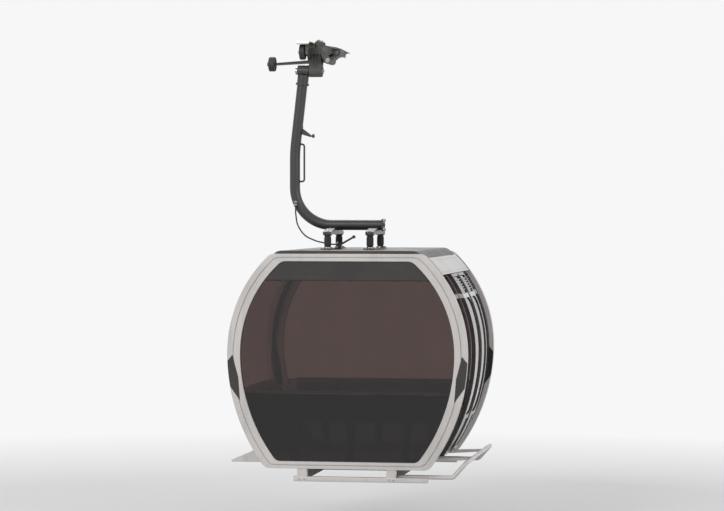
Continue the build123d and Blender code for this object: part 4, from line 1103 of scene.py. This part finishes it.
# Seats: each cover is blown up over its foam, crowned between sewn channels and stitched beside them
seat = {
    "mergeWithin": 0.0001,
    "shrink": 0.006,
    "voxel": 0.010,
    "pressure": 4.0,
    "frames": 20,
    "mostSwell": 0.022,
    "clear": 0.0005,
    "proud": 0.010,         # how far the crown may stand out of its block
    "crown": 0.007,
    "places": 4,            # one channel between each two of them
    "channelWidth": 0.014,
    "channelDepth": 0.007,
    "stitchOffset": 0.010,
    "stitchPitch": 0.0075,
    "stitchMargin": 0.022,
    "needleStart": 0.05,    # from where a stitch's place is sought, over the block
    "stitch": {"Length": 0.0050, "Thickness": 0.0011},
}
cushions = (        # name, node, thin axis, axis along the channels (2 is Z), way the shown side faces
    ("frontSeat", "front_seat_cushion", 2, 1, 1),
    ("rearSeat", "rear_seat_cushion", 2, 1, 1),
    ("frontBack", "front_back_cushion", 1, 2, 1),
    ("rearBack", "rear_back_cushion", 1, 2, -1),
)


def shrunkCopy(name, node):
    # the foam block a little smaller, with even faces
    form = mergedForm(node, seat["mergeWithin"])
    centre = middle(node)
    for vert in form.verts:
        for k in range(3):
            away = vert.co[k] - centre[k]
            vert.co[k] -= math.copysign(min(seat["shrink"], abs(away)), away)
    return linkObject(name, meshOf(name, form))


def inflate(pad):
    before = [vert.co.copy() for vert in pad.data.vertices]
    cloth = pad.modifiers.new("cover", "CLOTH")
    cloth.settings.quality = 5
    cloth.settings.mass = 0.3
    cloth.settings.use_pressure = True
    cloth.settings.uniform_pressure_force = seat["pressure"]
    cloth.settings.effector_weights.gravity = 0.0
    cloth.point_cache.frame_end = seat["frames"]
    for frameNumber in range(1, seat["frames"] + 1):
        bpy.context.scene.frame_set(frameNumber)
    swollen = pad.evaluated_get(bpy.context.evaluated_depsgraph_get()).data
    after = [vert.co.copy() for vert in swollen.vertices]
    pad.modifiers.clear()
    bpy.context.scene.frame_set(1)
    for vert, first, last in zip(pad.data.vertices, before, after):
        move = last - first
        if move.length > seat["mostSwell"]:
            move = move.normalized() * seat["mostSwell"]
        vert.co = first + move


def settle(pad, low, high, thin, faces):
    # the cover stays in the room of its block, but for the crown on the side that shows
    low, high = low.copy(), high.copy()
    if faces > 0:
        high[thin] += seat["proud"]
    else:
        low[thin] -= seat["proud"]
    for vert in pad.data.vertices:
        for k in range(3):
            vert.co[k] = min(max(vert.co[k], low[k] + seat["clear"]), high[k] - seat["clear"])


def sewChannels(pad, low, high, lines, thin, along, faces):
    # each place is crowned between its channels, and the cover is drawn down in them
    centre = (low[thin] + high[thin]) / 2
    halfPlace = (high.x - low.x) / seat["places"] / 2
    halfReach = (high[along] - low[along]) / 2
    for vert in pad.data.vertices:
        shown = (vert.co[thin] - centre) * faces
        if shown <= 0:
            continue
        toLine = min(abs(vert.co.x - line) for line in lines)
        toSide = min(toLine, vert.co.x - low.x, high.x - vert.co.x)
        toEnd = min(vert.co[along] - low[along], high[along] - vert.co[along])
        sink = seat["crown"] * ((1 - toSide / halfPlace) ** 2 + (1 - toEnd / halfReach) ** 2)
        if toLine < seat["channelWidth"]:
            sink += seat["channelDepth"] * (0.5 + 0.5 * math.cos(math.pi * toLine / seat["channelWidth"]))
        vert.co[thin] -= faces * min(sink, shown)


def sewStitches(name, pad, low, high, lines, thin, along, faces):
    # two rows beside each channel, on the side that shows
    first, last = low[along] + seat["stitchMargin"], high[along] - seat["stitchMargin"]
    count = int((last - first) / seat["stitchPitch"])
    inward, run = Vector((0, 0, 0)), Vector((0, 0, 0))
    inward[thin], run[along] = -faces, 1.0
    points = []
    for line in lines:
        for step in bothWays(seat["stitchOffset"]):
            for place in spread(first, last, count):
                start = Vector((line + step, 0, 0))
                start[along] = place
                start[thin] = (high if faces > 0 else low)[thin] + faces * seat["needleStart"]
                hit, spot, normal = pad.ray_cast(start, inward)[:3]
                if hit:
                    points.append((spot, run - normal * run.dot(normal)))
    growPiece(name, facingPoints(name, points), "stitchRow", "seatThread", "cabin", "seat_fabric",
              **seat["stitch"])


for name, node, thin, along, faces in cushions:
    low, high = [Vector(corner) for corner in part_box(node)]
    lines = [low.x + (high.x - low.x) * step / seat["places"] for step in range(1, seat["places"])]
    pad = shrunkCopy(name + "Pad", node)
    remesh = pad.modifiers.new("even", "REMESH")
    remesh.mode = "VOXEL"
    remesh.voxel_size = seat["voxel"]
    bake(pad)
    inflate(pad)
    settle(pad, low, high, thin, faces)
    smooth = pad.modifiers.new("smooth", "SUBSURF")
    smooth.levels = smooth.render_levels = 1
    bake(pad)
    sewChannels(pad, low, high, lines, thin, along, faces)
    paint(pad.data, "seatCloth", smooth=True)
    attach(pad, "cabin")
    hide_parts(node)
    bpy.context.view_layer.update()
    sewStitches(name + "Stitches", pad, low, high, lines, thin, along, faces)
    print(pad.name, "made:", len(pad.data.vertices), "points")


# Step strip inside the doorway and a long lamp under the roof, both with rounded edges
def placeBar(name, low, high, rounding, finish, smooth=False):
    bar = bmesh.new()
    bmesh.ops.create_cube(bar, size=1.0)
    for vert in bar.verts:
        vert.co = [low[k] + (vert.co[k] + 0.5) * (high[k] - low[k]) for k in range(3)]
    bmesh.ops.bevel(bar, geom=bar.edges[:], offset=rounding, segments=3, affect="EDGES", profile=0.5)
    bmesh.ops.recalc_face_normals(bar, faces=bar.faces)
    placePiece(name, meshOf(name, bar), finish, "cabin", smooth)


stepStrip = {
    "inset": 0.052,
    "width": 0.070,
    "thickness": 0.004,
    "halfLength": 0.425,
    "rounding": 0.0015,
    "screws": 7,
    "screwInset": 0.012,
    "screwEnd": 0.02,
}
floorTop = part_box("floor")[1].z
stripTop = floorTop + stepStrip["thickness"]
stepEdge = sidePoint(1, side["top"] - floorTop, 0.0, stepStrip["inset"]).x
placeBar("stepStrip", (stepEdge - stepStrip["width"], -stepStrip["halfLength"], floorTop),
         (stepEdge, stepStrip["halfLength"], stripTop), stepStrip["rounding"], "gritSheet")
screwRow = spread(*bothWays(stepStrip["halfLength"] - stepStrip["screwEnd"]), stepStrip["screws"])
fasten("stepScrews", "rivet", "cabin",
       [((stepEdge - stepStrip["screwInset"], y, stripTop), (0, 0, 1)) for y in screwRow])

lamp = {
    "ceilingDrop": 0.032,
    "depth": 0.016,
    "halfWidth": 0.045,
    "halfLength": 0.62,
    "rounding": 0.006,
    "rimWidth": 0.010,
    "rimLap": 0.002,
    "rimEnd": 0.01,
    "rimDepth": 0.019,
    "rimRounding": 0.003,
}
ceiling = side["top"] - lamp["ceilingDrop"]
placeBar("lampLens", (side["middleX"] - lamp["halfWidth"], -lamp["halfLength"], ceiling - lamp["depth"]),
         (side["middleX"] + lamp["halfWidth"], lamp["halfLength"], ceiling), lamp["rounding"],
         "lampLens", smooth=True)
rimReach = lamp["halfLength"] + lamp["rimEnd"]
for name, way in (("lampRimLeft", -1), ("lampRimRight", 1)):
    inner = side["middleX"] + way * (lamp["halfWidth"] - lamp["rimLap"])
    outer = inner + way * lamp["rimWidth"]
    placeBar(name, (min(inner, outer), -rimReach, ceiling - lamp["rimDepth"]),
             (max(inner, outer), rimReach, ceiling), lamp["rimRounding"], "benchMetal")
print("step strip and lamp made")


# Studio: pale floor below the hanging cabin, soft lamps and an even world
studio = {
    "lamps": {          # spot, size, power
        "keyLamp": ((-7.0, -14.0, 6.5), 7.0, 1000.0),
        "fillLamp": ((13.0, -9.0, 3.0), 7.0, 480.0),
        "backLamp": ((-3.0, 12.0, 7.0), 6.0, 450.0),
    },
    "aim": (0.27, 0.0, -2.6),
    "worldStrength": 0.55,
    "backdropColor": (0.93, 0.93, 0.94),
    "floorColor": (0.82, 0.82, 0.82),
    "floorRoughness": 0.8,
    "floorDrop": 0.55,
    "floorSize": 120.0,
    "floorFade": (5.0, 11.0),
}


def seenRays(tree):
    # camera, mirror and glass rays, which should all meet the white backdrop
    path = addNode(tree, "ShaderNodeLightPath").outputs
    seen = mathNode(tree, "MAXIMUM", path["Is Camera Ray"], path["Is Glossy Ray"])
    return mathNode(tree, "MAXIMUM", seen, path["Is Transmission Ray"])


def makeWorld():
    world = bpy.data.worlds.new("studioWorld")
    bpy.context.scene.world = world
    world.use_nodes = True
    tree = world.node_tree
    backdrop = tree.nodes["Background"]
    level = rangeNode(tree, seenRays(tree), 0.0, 1.0, studio["worldStrength"], 1.0)
    plug(tree, backdrop.inputs["Color"], opaque(studio["backdropColor"]))
    plug(tree, backdrop.inputs["Strength"], level)


def floorFinish():
    # fades into the backdrop, and isn't there for a camera below it
    material, tree, shader = newMaterial("studioFloor", {
        "Base Color": opaque(studio["floorColor"]), "Roughness": studio["floorRoughness"],
    })
    level = outputOf(tree, "ShaderNodeVectorMath", {0: objectPoint(tree), 1: (1.0, 1.0, 0.0)},
                     operation="MULTIPLY")
    away = outputOf(tree, "ShaderNodeVectorMath", {0: level}, "Value", operation="LENGTH")
    fade = rangeNode(tree, away, *studio["floorFade"])
    white = outputOf(tree, "ShaderNodeEmission", {"Color": opaque(studio["backdropColor"]), "Strength": 1.0})
    faded = mixShader(tree, product(tree, fade, seenRays(tree)), shader.outputs["BSDF"], white)
    fromBelow = outputOf(tree, "ShaderNodeNewGeometry", output="Backfacing")
    setSurface(tree, mixShader(tree, fromBelow, faded, outputOf(tree, "ShaderNodeBsdfTransparent")))
    return material


makeWorld()
for name, (spot, size, power) in studio["lamps"].items():
    lampData = bpy.data.lights.new(name, "AREA")
    lampData.shape = "DISK"
    lampData.size = size
    lampData.energy = power
    aimObject(name, lampData, spot, studio["aim"])
half = studio["floorSize"] / 2
height = cadLow.z - studio["floorDrop"]
corners = [(-half, -half, height), (half, -half, height), (half, half, height), (-half, half, height)]
floorMesh = bpy.data.meshes.new("studioFloor")
floorMesh.from_pydata(corners, [], [(0, 1, 2, 3)])
floorMesh.materials.append(floorFinish())
linkObject("studioFloor", floorMesh)
print("studio made")
